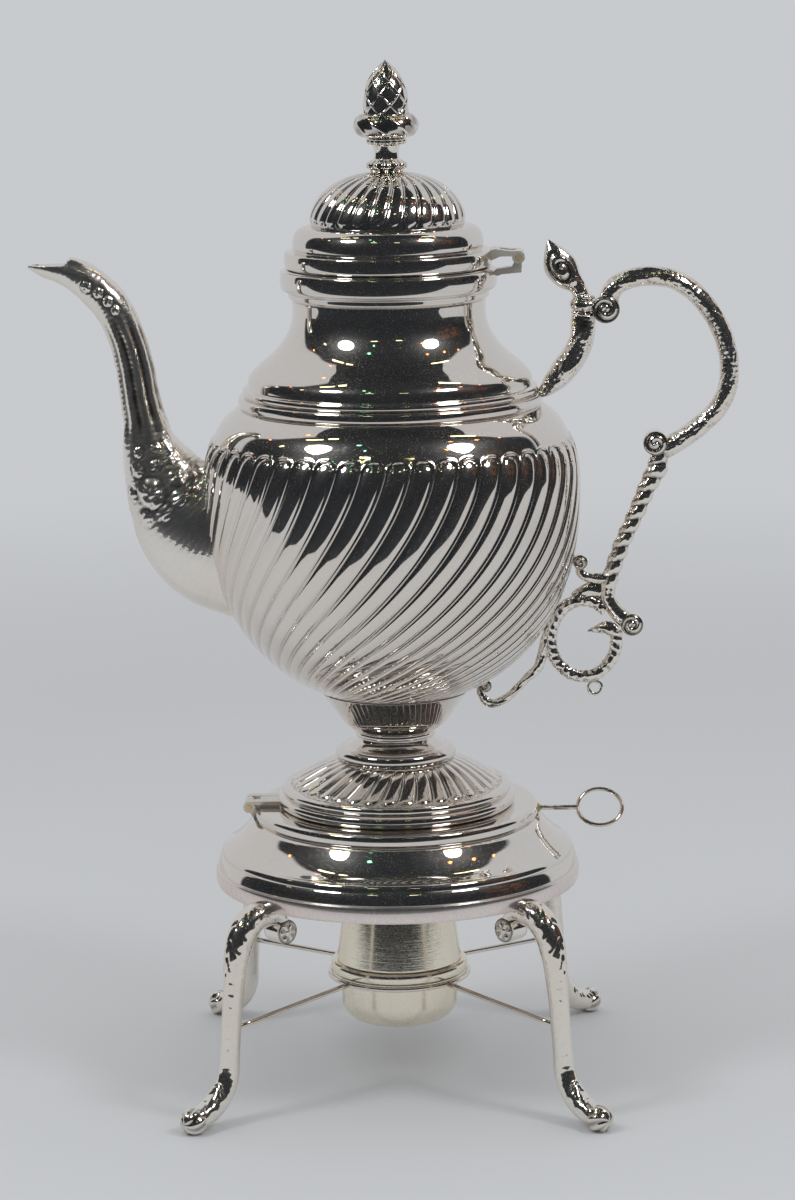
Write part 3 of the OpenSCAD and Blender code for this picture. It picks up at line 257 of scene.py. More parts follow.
def plated(name, tone, warm, polish, haze, patina=0.0, punched=0.0, brushed=0.0, metal=1.0):
    """Old silver plate: a sharp mirror and a dull one, mixed by the haze and raised by specks of dust
    and hairline scratches. Patches are of a warmer tone, and brown tarnish sits in the hollows of a
    relief. The ground can be punched with fine dots or brushed in streaks round the axis. A metal
    share under 1 stands for plate that has gone matt."""
    made, place = material(name)
    cloud = place.noise(26, 3).step(0.35, 0.7)
    fine = place.noise(320, 3, 0.6)
    dust = {"Vector": place, "Scale": 1500.0}
    near = place.node("TexVoronoi", dust, "Distance")
    chance = place.node("TexVoronoi", dust, "Color")
    chosen = chance.node("SeparateColor", {"Color": chance}).step(0.35, 1.0)
    speck = (1 - near.step(0.1, 0.36)) * chosen
    line = (place.noise(150, 2, 0.6, (1, 1, 0.3)) - 0.5).maths("ABSOLUTE")
    scratch = (1 - line.step(0.0, 0.012)) * place.noise(90, 1).step(0.45, 0.6)
    colour = (cloud * 0.6).mix((*tone, 1), (*warm, 1))
    share = speck * 0.35 + scratch * 0.12 + (fine * 0.5 + 0.75) * haze
    rough = fine.step(0.5, 0.8) * 0.02 + polish
    height = place.noise(60, 1) * 1.2 + fine * 0.05
    if patina:
        hollow = place.node("Attribute", output="Fac", attribute_name="hollow")
        dirt = (hollow * (0.6 + fine * 0.8)).maths("MULTIPLY", patina, clamp=True)
        colour = dirt.mix(colour, (0.1, 0.075, 0.05, 1))
        rough = rough + dirt * 0.25
    if punched:
        ground = place.node("TexVoronoi", {"Vector": place, "Scale": 1000.0, "Smoothness": 0.4},
                            feature="SMOOTH_F1")
        height = height + (ground * 4 + place.noise(700, 2) * 2.5) * punched
    if brushed:
        streak = place.noise(60, 4, 0.7, (1, 1, 34))
        rough = rough + streak.step(0.42, 0.7) * brushed
        height = height + streak * 0.5
    bump = place.node("Bump", {"Height": height, "Distance": 0.00006, "Strength": 1.0})
    sharp, dull = (place.node("BsdfPrincipled", {
        "Base Color": colour, "Roughness": roughness, "Metallic": metal, "Normal": bump})
        for roughness in (rough, 0.34))
    shader = place.node("MixShader", {0: share, 1: sharp, 2: dull})
    place.node("OutputMaterial", {"Surface": shader})
    return made


pale_silver, tanned_silver = (0.83, 0.785, 0.735), (0.83, 0.75, 0.675)
spun_silver = plated("spun_silver_plate", pale_silver, tanned_silver, 0.03, 0.085)
stand_outline = np.vstack([
    [[plateau_r - 1, stand_h]], bead(plateau_r - 0.6, 0.9, stand_h - 0.4, sweep_z + 0.6),
    [[plateau_r + 1.2, sweep_z]],
    curve(offset(plateau_r, sweep_z, [[1.8, -0.5], [5.2, -4.6]])
          + offset(rim_r, rim_top, [[-8, 10.6], [-4.6, 8.2]]), 10),
    arc([rim_r - 4.6, rim_top + 5], [1.9, 2.9], 80, 0),
    offset(rim_r, rim_top, [[-2.2, 4.4], [-1.4, 2.2], [-0.8, 0]])])
piece("stand_top", "spun", [turned([
    [[vent_r, stand_h]], stand_outline,
    offset(rim_r, rim_top, [[-2.8, 0], [-4, 5], [-5.8, 7.4], [-9.4, 9.8]]),
    offset(plateau_r, sweep_z, [[4.2, -5.9], [0.6, -1.6], [-1.6, 0]]),
    [[plateau_r - 1.6, stand_h - stand_sheet], [vent_r, stand_h - stand_sheet]]])],
    spun_silver, "stand")


# The rim band under the sweep: a flat strip with a slight swell, its lower edge turned in. It is
# duller than the rest, because it is the place where the stand is held.
rim_silver = plated("rim_silver_plate", (0.86, 0.79, 0.755), (0.86, 0.74, 0.69), 0.08, 0.6)
piece("stand_rim", "spun", [turned([
    [[rim_r - 2.8, rim_top], [rim_r - 2.8, rim_z + 0.6], [rim_r - 2.2, rim_z],
     [rim_r - 0.6, rim_z]],
    bead(rim_r - 0.6, 0.6, rim_z + 0.2, rim_top - 0.4), [[rim_r - 0.8, rim_top]]])],
    rim_silver, "stand")


# The four legs: solid castings with a scroll under the rim, a chased leaf over the knee and another
# at the ankle, and a ribbed knob for a toe. They are soldered under the rim.
toe_out = 39.5
toe_r = 5.7
toe_flat = 0.6
leg_t = 4.1
leg_angles = {"leg_1": 225, "leg_2": 315, "leg_3": 45, "leg_4": 135}
leg_stations = offset(rim_r, 0, [
    [-10.6, rim_z - 7, 3, 4.2], [-6, rim_z - 3.4, 4.2, 4.6], [-0.6, rim_z - 1.8, 5.2, 5.6],
    [5.4, rim_z - 2.6, 5.6, 5.7], [11, rim_z - 7.6, 5.6, 5.5], [14.4, rim_z - 16.4, 5],
    [16.4, rim_z * 0.66, leg_t + 0.3], [18, rim_z * 0.5, leg_t], [19.2, rim_z * 0.35, leg_t],
    [toe_out - 19, rim_z * 0.23, leg_t + 0.3], [toe_out - 15.2, 12.6, 4.7],
    [toe_out - 9, 7.6, 4.6, 4.8], [toe_out - 1, toe_r - 0.5, 4.4, 4.8]])


def worn(s, a, size=0.09):
    """The unevenness of a hand-finished casting: products of sines of the length s in millimetres
    and the angle a round the bar, at lengths that don't repeat together."""
    return size * (np.sin(1.7 * s + 2 * a) * np.sin(1.13 * s - 3 * a + 1)
                   + 0.8 * np.sin(2.9 * s + 5 * a + 2) * np.sin(2.1 * s - 4 * a)
                   + 0.6 * np.sin(0.61 * s + a + 4))


def hump(x):
    """exp(-x^2): 1 at x = 0, and nearly 0 from 2 on both sides."""
    return np.exp(-x**2)


def leaf(s, x, start, length, width, veins, lift):
    """A chased leaf along a bar from start, its half width w(l) = width sin(pi l^0.7) with a lobed
    edge. Over it the height is lift (1 - (x/w)^2 / 2), less a sunk midrib and veins that slant."""
    l = np.clip((s - start) / length, 1e-4, 1)
    w = width * np.sin(np.pi * l**0.7) * (1 + 0.16 * np.cos(2 * np.pi * veins * l)) + 1e-3
    q = np.abs(x) / w
    inside = 1 / (1 + np.exp(np.minimum(q - 1, 4) * 14)) * ((s > start) & (s < start + length))
    vein = np.abs(np.sin(np.pi * (veins * l - 1.3 * q)))
    return inside * (lift * (1 - 0.5 * q**2) - 0.5 * lift * hump(q / 0.13)
                     - 0.55 * lift * hump(vein / 0.3))


def rosette(s, x, at, across, size, petals, lift):
    """A chased flower round the point (at, across): with r and t from its middle, a round boss, then
    a ring of petals whose edge is size (0.84 + 0.16 cos(petals t))."""
    r, t = np.hypot(s - at, x - across) / size, np.arctan2(x - across, s - at)
    edge = 0.84 + 0.16 * np.cos(petals * t)
    petal = unit(1 - (r / edge) ** 4) * (0.6 + 0.4 * np.cos(petals * t))
    return lift * (petal * unit(r / 0.35) + 0.9 * hump(r / 0.26)
                   - 0.45 * hump((r - 0.36) / 0.08) - 0.3 * hump((r - 1.05) / 0.14))


def bar(stations, relief, pitch=0.5, sides=64):
    """A cast bar in the XZ plane, from stations [x, z, half depth, half width]. Round each point c
    of a smooth curve through them, with its sideways direction n, the skin is
    c + (depth + h) cos(a) n + (width + h) sin(a) Y, where h is relief(s, a, the mean radius)."""
    fine = curve(stations, 40)
    along = np.r_[0, np.cumsum(np.linalg.norm(np.diff(fine[:, :2], axis=0), axis=1))]
    s = np.linspace(0, along[-1], max(int(along[-1] / pitch), 6) + 1)
    path = np.stack([np.interp(s, along, fine[:, k]) for k in range(4)], 1)
    run = np.gradient(path[:, :2], axis=0)
    run = run / np.linalg.norm(run, axis=1, keepdims=True)
    a = (np.arange(sides) + 0.5) / sides * 2 * np.pi - np.pi
    h = relief(s[:, None], a[None], path[:, 2:].mean(1)[:, None])
    depth, width = (path[:, 2:3] + h) * np.cos(a), (path[:, 3:4] + h) * np.sin(a)
    grid = np.stack([path[:, :1] - run[:, 1:] * depth, width, path[:, 1:2] + run[:, :1] * depth], -1)
    return skin(grid, unit((-0.12 - h) / 0.25))


def volute(x, z, r, width, petals=0, lean=1.0):
    """The rolled end of a casting: a drum across the XZ plane. On each face, with rho and t its polar
    coordinates, stands a spiral ridge 0.34 cos(2 pi 1.6 rho - t), or a flower with petals."""
    t = np.arange(72) / 72 * 2 * np.pi
    inwards = np.linspace(1, 0.04, 26)
    rho = np.r_[np.linspace(0.04, 1, 26), np.full(9, 1.0), inwards][:, None]
    flank = np.cos(np.linspace(np.pi, 0, 11))[1:-1] * 0.86
    side = np.r_[np.full(26, -1.0), flank, np.full(26, 1.0)][:, None]
    face = np.abs(side) >= 1
    if petals:
        lift = 0.45 * hump(rho / 0.22) + hump((rho - 0.55) / 0.2) * (0.1 + 0.32 * np.cos(petals * t))
    else:
        ridge = 0.34 * np.cos(2 * np.pi * 1.6 * rho - lean * t)
        lift = ridge * unit(3 * (1 - rho)) + 0.2 * (1 - rho)
    lift = np.where(face, lift - 0.5 * rho**6, 0)
    radius = r * rho * np.where(face, 1 - 0.05 * (rho > 0.97), 1.0)
    grid = np.stack([x + radius * np.cos(t), side * width / 2 + np.sign(side) * lift + 0 * t,
                     z + radius * np.sin(t)], -1)
    return skin(grid, np.where(face, unit(0.25 - 2.2 * lift), 0))


def swung(skins, degrees):
    """Skins turned about the stand's axis: (x cos g - y sin g, x sin g + y cos g, z)."""
    g = math.radians(degrees)
    spin = np.array([[math.cos(g), math.sin(g), 0], [-math.sin(g), math.cos(g), 0], [0, 0, 1]])
    return [(points @ spin, *rest) for points, *rest in skins]


def leg_relief(s, a, r):
    x = a * r
    back = (np.abs(a) - np.pi) * r
    return (worn(0.5 * s, a, 0.03) + leaf(s, x, 6, 40, 8, 7, 0.6) + leaf(s, x, 88, 30, 7, 5, 0.55)
            + 0.5 * leaf(s, back, 20, 26, 5, 6, 0.5)) - 0.06


def toe_skin():
    """The toe: a ball of radius r + 0.3 cos(7t + 3 polar) sin(polar), flat where it stands."""
    polar, t = np.linspace(0.03, np.pi - 0.03, 40)[:, None], np.arange(64) / 64 * 2 * np.pi
    lift = 0.3 * np.cos(7 * t + 3 * polar) * np.sin(polar) - 0.1
    r = toe_r - 0.15 + lift
    grid = np.stack([rim_r + toe_out - r * np.cos(polar) + 0 * t, r * np.sin(polar) * np.cos(t),
                     toe_r - toe_flat + r * np.sin(polar) * np.sin(t)], -1)
    grid[..., 2] = np.maximum(grid[..., 2], 0)
    return skin(grid, unit(-2 * lift))


bright_silver, yellow_silver = (0.9, 0.86, 0.8), (0.9, 0.81, 0.7)
cast_silver = plated("cast_silver_plate", bright_silver, yellow_silver, 0.045, 0.14, 0.8, punched=0.06)
leg_skins = [bar(leg_stations, leg_relief), volute(rim_r - 9.5, rim_z - 10, 5.1, 9.6, petals=6),
             toe_skin()]
for leg, angle in leg_angles.items():
    piece(leg, "cast", swung(leg_skins, angle), cast_silver, "stand")


# The burner's holder: a wire ring on four wire spokes, which are soldered into the backs of the legs.
holder_r = 28.9
holder_z = 43.5
wire_r = 1.1


def wire(points, radius, shut=False):
    """A round wire along points: with the run T and two directions N and B square to it, the skin
    is p + radius (cos a N + sin a B)."""
    p = np.array(points, float)
    run = (np.roll(p, -1, 0) - np.roll(p, 1, 0)) if shut else np.gradient(p, axis=0)
    run = run / np.linalg.norm(run, axis=1, keepdims=True)
    third = len(p) // 3
    spare = np.cross(p[0] - p[third], p[0] - p[2 * third]) if shut else np.array([0, 1.0, 0.01])
    n = np.cross(run, spare)
    n = n / np.linalg.norm(n, axis=1, keepdims=True)
    b = np.cross(run, n)
    a = (np.arange(20) / 20 * 2 * np.pi)[None, :, None]
    return skin(p[:, None] + radius * (np.cos(a) * n[:, None] + np.sin(a) * b[:, None]), ring=shut)


def hoop(centre, r, u, v, steps=120):
    """Points centre + r (cos t u + sin t v) round a ring."""
    t = (np.arange(steps) / steps * 2 * np.pi)[:, None]
    return np.array(centre) + r * (np.cos(t) * np.array(u) + np.sin(t) * np.array(v))


wire_silver = plated("wire_silver_plate", (0.88, 0.83, 0.77), (0.78, 0.66, 0.52), 0.12, 0.2)
holder = wire(hoop([0, 0, holder_z], holder_r, [1, 0, 0], [0, 1, 0]), wire_r, True)
piece("burner_ring", "wire", [holder], wire_silver, "stand")
spoke = wire(np.linspace([holder_r, 0, holder_z], [rim_r + 15, 0, rim_z * 0.46], 9), wire_r)
for number, angle in enumerate(leg_angles.values(), 1):
    piece(f"spoke_{number}", "wire", swung([spoke], angle), wire_silver, "stand")


# The tilting hinge at the left and the guide of the lock pin at the right: cut and filed from
# plate and tube, with brass pins. Their CAD solids are right as they are, as are those of the lid's
# hinge, the finial's nut and the wick's tube, which are made of the same metals.
brass = plated("old_brass", (0.86, 0.66, 0.33), (0.76, 0.52, 0.22), 0.16, 0.6, metal=0.7)
hinge_silver = plated("hinge_silver_plate", (0.72, 0.68, 0.62), (0.66, 0.58, 0.46), 0.16, 0.5,
                      metal=0.6)
filed = {hinge_silver: ("tilt_bracket", "tilt_leaf", "lid_hinge_lower_leaf", "lid_hinge_upper_leaf"),
         brass: ("tilt_pin", "lid_hinge_pin", "lock_guide", "latch_lug", "finial_nut", "wick_holder")}
for metal, nodes in filed.items():
    for node in nodes:
        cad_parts[node].data.materials.clear()
        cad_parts[node].data.materials.append(metal)


# The lock pin and its pull ring: one silvered wire, its tip coned to find the lug, and a ring of
# thinner wire soldered to its end.
lock_z = stand_h - 3.1
lock_r = 1.1
pull_r = 9.3
pull_wire_r = 0.9
lock_tip = 49.8
pull_x = plateau_r + 26
points, *faces = turned([[0, lock_tip], [lock_r - 0.4, lock_tip], [lock_r, lock_tip + 0.8],
                         [lock_r, pull_x - pull_r], [0, pull_x - pull_r]], 0.15, 40)
piece("lock_pin", "wire", [(points[:, [2, 1, 0]] * [1, 1, -1] + [0, 0, lock_z], *faces)],
      wire_silver, "lock_pin")
lean = math.radians(40)
pull = hoop([pull_x, 0, lock_z], pull_r, [1, 0, 0], [0, math.cos(lean), math.sin(lean)])
piece("pull_ring", "wire", [wire(pull, pull_wire_r, True)], wire_silver, "lock_pin")


# The spirit burner: a cup with a bead that rests on the ring, and a tapered cover, all spun from
# thin plate that has yellowed and been rubbed round and round.
wire_top = holder_z + wire_r + 0.02
sheet = 1.2
font_r = 24.6
font_z = holder_z - 20.6 + 1.1
bead_r = holder_r - 0.3
bead_h = 4.8
cover_z = wire_top + bead_h
cover_h = 24.5
tube_r = 5.5
tube_wall = 0.8
burner_silver = plated("burner_silver_plate", (0.92, 0.86, 0.73), (0.88, 0.78, 0.58), 0.05, 0.2,
                       brushed=0.03)
piece("burner_font", "spun", [turned([
    [[0, font_z], [font_r - 8.4, font_z]],
    arc([font_r - 8.4, font_z + 9], [8.2, 9], -78, 0),
    [[font_r, wire_top], [font_r, wire_top + bead_h - 1], [font_r - sheet, wire_top + bead_h - 1]],
    arc([font_r - 8.4, font_z + 9], [8.2 - sheet, 9 - sheet], 0, -90),
    [[0, font_z + sheet]]])], burner_silver, "burner")
piece("burner_bead", "spun", [turned([
    [[font_r, wire_top], [bead_r - 0.6, wire_top]],
    bead(bead_r - 0.6, 0.6, wire_top + 0.2, wire_top + bead_h - 0.4),
    [[bead_r - 1.4, wire_top + bead_h], [font_r, wire_top + bead_h]]])], burner_silver, "burner")
piece("burner_cover", "spun", [turned([
    [[font_r - sheet, cover_z], [font_r + 1.6, cover_z]],
    curve(offset(font_r, cover_z, [[1.2, 3], [-0.3, 14], [-1.6, cover_h - 1.6]]), 6),
    [[font_r - 3, cover_z + cover_h], [tube_r + 3, cover_z + cover_h],
     [tube_r + 3, cover_z + cover_h - sheet], [font_r - 3.4, cover_z + cover_h - sheet],
     [font_r - 1.5, cover_z + 14], [font_r - sheet, cover_z + 3]]], 0.6)], burner_silver, "burner")


# The wick: plaited cotton in the brass tube, scorched at its frayed top.
wick_r = tube_r - tube_wall
wick_low = font_z + 6
wick_top = cover_z + cover_h + 4
cotton, place = material("scorched_cotton")
height = place.node("SeparateXYZ", {"Vector": place}, "Z")
scorch = height.step((wick_top - 4) / 1000, wick_top / 1000)
thread = place.noise(1400, 3)
colour = scorch.mix(thread.mix((0.72, 0.66, 0.5, 1), (0.85, 0.8, 0.68, 1)), (0.05, 0.04, 0.03, 1))
bump = place.node("Bump", {"Height": thread, "Distance": 0.0003})
shader = place.node("BsdfPrincipled", {"Base Color": colour, "Roughness": 0.95, "Normal": bump})
place.node("OutputMaterial", {"Surface": shader})


def plait(line, a):
    """Crossing strands: -0.3 + 0.25 |cos(6a + kz)| or |cos(6a - kz)|, whichever stands higher."""
    z = line[:, 1:]
    return 0.25 * np.maximum(np.abs(np.cos(6 * a + 0.9 * z)), np.abs(np.cos(6 * a - 0.9 * z))) - 0.3


piece("wick", "plaited", [turned([
    [[0, wick_low]], np.stack([np.full(60, wick_r), np.linspace(wick_low, wick_top - 1.4, 60)], 1),
    [[wick_r - 1.4, wick_top], [0, wick_top]]], 0.4, 96, plait)], cotton, "burner")


# The kettle's foot, from the bottom: a base of two mouldings, a fluted cone chased from one sheet,
# a turned knop with a hollow flare and one ring, and a cup that is soldered under the bowl.
foot_z = stand_h + 0.3
foot_r = 49.2
cone_z = foot_z + 8.5
base_outline = np.vstack([
    [[foot_r - 1, foot_z]], bead(foot_r - 1, 1, foot_z + 0.2, foot_z + 4.2),
    [[foot_r - 1.8, foot_z + 4.6]], bead(foot_r - 2.6, 1, foot_z + 5, cone_z - 0.4),
    [[foot_r - 3, cone_z]]])
cone_r = 45.4
piece("foot_base", "spun", [turned([
    [[foot_r - 5.2, foot_z]], base_outline, [[cone_r - 4, cone_z], [foot_r - 5.2, cone_z - 2]]])],
    spun_silver, "kettle")
cone_h = 10.7
knop_z = cone_z + cone_h
knop_r = 25
flutes = {"cone": 36, "bowl": 48, "dome": 28}


def smooth(t):
    """3t^2 - 2t^3 between 0 and 1."""
    t = unit(t)
    return t**2 * (3 - 2 * t)


def lobe(across, half, from_top, from_foot, power, ground=0.6, thread=0.3, rise=1.0):
    """How far a fluted surface lies under the crests, 0 to 1. A flute's edge is half away from its
    middle line, and round at both ends. With g the distance inside the edge as a share of half, a
    furrow of depth 1 at g = 0.18 parts the lobe, 1 - rise (1 - (1-f)^p)^(1/p), f = (g - 0.18) / 0.82,
    from a thin raised thread exp(-(g / 0.09)^2) on the ground outside."""
    x = np.abs(across) * half
    beyond = np.maximum(np.maximum(half - from_top, half - from_foot), 0)
    g = 1 - np.hypot(x, beyond) / half
    f = unit((g - 0.18) / 0.82)
    crest = 1 - rise * (1 - (1 - f) ** power) ** (1 / power)
    bank = ground + (1 - ground) * smooth(g / 0.18)
    return np.where(g > 0.18, crest, bank) - thread * hump(g / 0.09)


def flute_angles(count, per=12):
    """The columns of a fluted surface, per to a flute, closer at the furrows: place -1 to 1 across
    the flute is sin(pi u / 2) of even steps u, and the angle follows it."""
    u = np.tile((np.arange(per) / per) * 2 - 1, count)
    across = np.sin(np.pi / 2 * u)
    return across, (np.repeat(np.arange(count), per) + (across + 1) / 2) / count * 2 * np.pi


cone_top_r = knop_r - 0.6
t = np.linspace(0, 1, 44)[:, None]
across, angle = flute_angles(flutes["cone"])
r = cone_top_r + (cone_r - cone_top_r) * t
slant = math.hypot(cone_r - cone_top_r, cone_z - knop_z)
under = lobe(across, np.pi * r / flutes["cone"], t * slant + 1.2, (1 - t) * slant - 0.9, 2.6)
depth = 1.3 * np.minimum(1, 0.3 + 1.2 * t)
swirl = np.radians(9)
fall = cone_h * (t + 0.12 * np.sin(np.pi * t) * (t - 1))
outer = around(r - 0.55 * depth * under, knop_z - fall - 0.6 * depth * under, angle - swirl * t)
ends = np.array([[1], [0]])
inner = around(cone_top_r - 3.6 + (cone_r - cone_top_r - 0.4) * ends, np.array([[cone_z], [knop_z]]),
               angle - swirl * ends)
fluted_silver = plated("fluted_silver_plate", pale_silver, tanned_silver, 0.03, 0.085, patina=0.45)
piece("foot_cone", "fluted", [skin(np.concatenate([outer, inner]), np.concatenate(
    [unit(under * 1.6 - 0.6), 0 * inner[..., 0]]), ring=True)], fluted_silver, "kettle")

cup_z = knop_z + 12.3
bowl_z = cup_z + 16.2
cup_neck_r = 17.6
flue_r = 14
piece("foot_knop", "turned", [turned([
    [[flue_r, cup_z], [cup_neck_r, cup_z]],
    bead(cup_neck_r - 1.6, 0.8, cup_z - 0.4, cup_z - 2.8),
    curve(offset(cup_neck_r, cup_z, [[-1.6, -3.2], [-0.6, -4.6], [1, -5.8]])
          + [[knop_r - 4.4, knop_z + 5.5]], 6),
    arc([knop_r - 4.2, knop_z + 2.4], [4.2, 3.2], 96, -26, power=0.9),
    [[knop_r - 1, knop_z], [flue_r, knop_z]]])], spun_silver, "kettle")
bottom_r = 29.6
cup_lip_r = bottom_r + 1.1
cup_line = curve([[cup_lip_r, bowl_z], [cup_lip_r - 4.6, cup_z + 9.6], [cup_lip_r - 9.2, cup_z + 3.3],
                  [cup_neck_r, cup_z]], 8)
piece("foot_cup", "spun", [turned([cup_line, cup_line[::-1] - [1.5 * sheet, 0]])],
      spun_silver, "kettle")


# The bowl: spun, then chased into swirling flutes that begin under round arches and crowd together
# at the foot. Its outline is two super-ellipses that meet at the widest place.
lower_h = 82.5
upper_h = 36.5
widest_z = bowl_z + lower_h
neck_z = widest_z + upper_h
bowl_r = 77.4
waist_r = 62.3
neck_tuck = 0.2
lower_power = 2.2
upper_power = 3
lower_reach = lower_h / (1 - (bottom_r / bowl_r) ** lower_power) ** (1 / lower_power)
upper_reach = upper_h / (1 - ((waist_r - neck_tuck) / bowl_r) ** upper_power) ** (1 / upper_power)
flute_top_z = widest_z + 24
flute_depth = 1.7
flute_swirl = np.radians(114)
swirl_power = 1.35
row_power = 0.9
arch_top_z, arch_foot_z = flute_top_z + 1.5, flute_top_z - 8


def bowl_radius(z):
    """The bowl's outline at a height: R (1 - |d/reach|^p)^(1/p), d above or below the widest place."""
    d = np.asarray(z, float) - widest_z
    power = np.where(d < 0, lower_power, upper_power)
    reach = np.where(d < 0, lower_reach, upper_reach)
    return bowl_r * (1 - unit(np.abs(d) / reach) ** power) ** (1 / power)


shoulder = neck_z + (arch_top_z - neck_z) * np.linspace(0, 1, 13)[:-1] ** 1.2
arches = np.linspace(arch_top_z, arch_foot_z, 31)[:-1]
flanks = arch_foot_z + (bowl_z - arch_foot_z) * np.sin(np.pi / 2 * np.linspace(0, 1, 98) ** row_power)
z = np.r_[shoulder, arches, flanks][:, None]
across, angle = flute_angles(flutes["bowl"])
share = unit((flute_top_z - z) / (flute_top_z - bowl_z))
gone = 2 / np.pi * np.arcsin(share)
wound = flute_swirl * gone ** (swirl_power / row_power)
r = bowl_radius(z)
half = np.pi * r / flutes["bowl"]
fallen = (flute_top_z - z) / half
ground = 0.55 * smooth(1 + fallen / 1.8)
under = lobe(across, half, flute_top_z - z, 1e3, 2.2 + 1.6 * smooth(fallen / 5), ground, 0.4,
             0.55 + 0.45 * np.sin(np.pi / 2 * unit(fallen / 2.6)))
depth = 0.85 * flute_depth * (1 - 0.5 * gone)
outer = around(r - depth * under, z, angle - wound)
outer_hollow = unit(under * 1.8 - 0.8) * (0.4 + 0.6 * share)
lining_z = np.linspace(bowl_z + sheet, neck_z, 14)[:, None]
lining_r = bowl_radius(lining_z) - (sheet + flute_depth)
lining_r[-1] = bowl_radius(neck_z) - sheet
lining = around(lining_r, lining_z, angle)
floor_rings = around(np.array([[2.0], [bottom_r - 0.8]]), bowl_z, angle - wound[-1])
inner_rings = around(np.array([[2.0], [lining_r[0, 0] - 0.4]]), bowl_z + sheet, angle)
grid = np.concatenate([floor_rings, outer[::-1], lining[::-1], inner_rings[::-1]])
hollow = np.concatenate([np.zeros((2, len(angle))), outer_hollow[::-1], np.zeros((16, len(angle)))])
piece("bowl", "fluted", [skin(grid, hollow, [[0, 0, bowl_z], [0, 0, bowl_z + sheet]])],
      fluted_silver, "kettle")


# The neck and the collar: spun in one run of mouldings at the waist, a hollow sweep, and a bulging
# band with a rolled edge round the mouth.
collar_z = neck_z + 43.5
mouth_z = collar_z + 12.7
mouth_r = 37.9
neck_r = 39.4
collar_r = 44.2
neck_flare = curve(offset(waist_r, neck_z, [[-4, 8.4], [-4.8, 12.7], [-9.2, 17.4]])
                   + offset(neck_r, neck_z, [[7.6, 22.6], [2.8, 28.9], [0.3, 35.4]])
                   + [[neck_r, collar_z]], 8)
neck_outline = np.vstack([
    [[waist_r - neck_tuck, neck_z]], bead(waist_r - 1, 1, neck_z + 0.2, neck_z + 4.6),
    [[waist_r - 2.4, neck_z + 4.8]], bead(waist_r - 2.8, 0.9, neck_z + 5.1, neck_z + 7.9), neck_flare])
piece("neck", "spun", [turned([
    neck_outline, neck_flare[::-4] - [sheet, 0], [[waist_r - 2.6 - sheet, neck_z]]])],
    spun_silver, "kettle")
piece("collar", "spun", [turned([
    [[mouth_r, collar_z]], offset(neck_r, collar_z, [[0, 0], [1.5, 1.2], [1.7, 3.2], [3, 3.9]]),
    bead(collar_r - 1.6, 1.6, collar_z + 4.4, mouth_z - 0.5, 20, 0.4),
    [[collar_r - 2.2, mouth_z], [mouth_r, mouth_z]]])], spun_silver, "kettle")


# The spout: cast in halves of the same plated metal and soldered to the bowl. Its base is chased
# with flowers and its neck with ribs, and its lip is cut open at the top.
spout_x = -bowl_r - 68.4
spout_z = widest_z + 94.4
base_w = 20
spout_stations = offset(spout_x, spout_z, [
    [-0.6, 0.5, 1.0, 2.2], [5.5, 0.3, 4.4, 5.0], [12.6, -0.9, 5.7, 6.2], [22.2, -5.4, 7.2, 6.7],
    [32.6, -16, 7.7, 7.0], [38.2, -28, 7.3, 7.2], [41.4, -40.3, 7.6, 7.4], [43.3, -53.3, 7.9, 7.8],
    [45.2, -64, 8.9, 8.6]]) + offset(-bowl_r, widest_z, [
    [-21.6, 20.8, 11.6, 10.6], [-18, 11.5, 15.4, base_w - 6.6], [-12.6, 1, 20, base_w - 3],
    [-5, -9.5, 25.5, base_w], [5, -16.5, 30, base_w + 1.6], [19, -20, 32.5, base_w + 2.4]])
flowers = [
    (115, 5.5, 6, 6), (114, -7, 4, 5), (122, -3.4, 3.6, 4), (124, 4.6, 3.2, 5), (122, 13, 3.6, 5),
    (105, 7, 2.8, 5), (106, -1, 2.6, 5), (113, 15, 3, 4), (106, -7, 2.4, 5), (99, 4, 2.2, 5),
    (99, -3, 2.2, 5), (121, -11, 3.2, 5), (26, 1, 2.4, 5), (31.5, -0.6, 2.2, 5), (36.5, -1, 2.2, 5),
    (41, -1.4, 2.0, 5)]


def both_sides(a, r):
    """The distance round a bar from the middle of its nearer side, where a is 90 or -90 degrees."""
    return (np.abs(a) - np.pi / 2) * r


def spout_relief(s, a, r):
    x = both_sides(a, r)
    ribs = 0.42 * np.cos(9 * a) * unit((s - 40) / 12) * unit((100 - s) / 14)
    chased = sum(rosette(s, x, at, side, size, petals, 0.8) for at, side, size, petals in flowers)
    return worn(s, a, 0.06) + ribs + chased + leaf(s, x + 9, 84, 22, 4, 4, 0.5)


spout_metal = plated("spout_silver_plate", (0.9, 0.86, 0.81), (0.9, 0.82, 0.72), 0.05, 0.4, 0.8, 0.1)
points, *faces = bar(spout_stations, spout_relief, 0.55, 112)
lip_z = spout_z + 0.9
above = points[:, 2] - lip_z
cut = (above > 0) & (points[:, 0] < spout_x + 13.6 + 0.9 * above)
x, y, _ = points[cut].T
points[cut, 2] = lip_z - 0.9 * (1 - np.clip(y / 5, -1, 1) ** 2) * unit((x - spout_x) / 4)
flat_r = np.hypot(points[:, 0], points[:, 1])
skin_r = bowl_radius(np.clip(points[:, 2], bowl_z, neck_z)) - 0.9
sunk = (points[:, 2] < neck_z) & (flat_r < skin_r)
points[:, :2] *= np.where(sunk, skin_r / flat_r, 1)[:, None]
piece("spout", "cast", [(points, *faces)], spout_metal, "kettle")


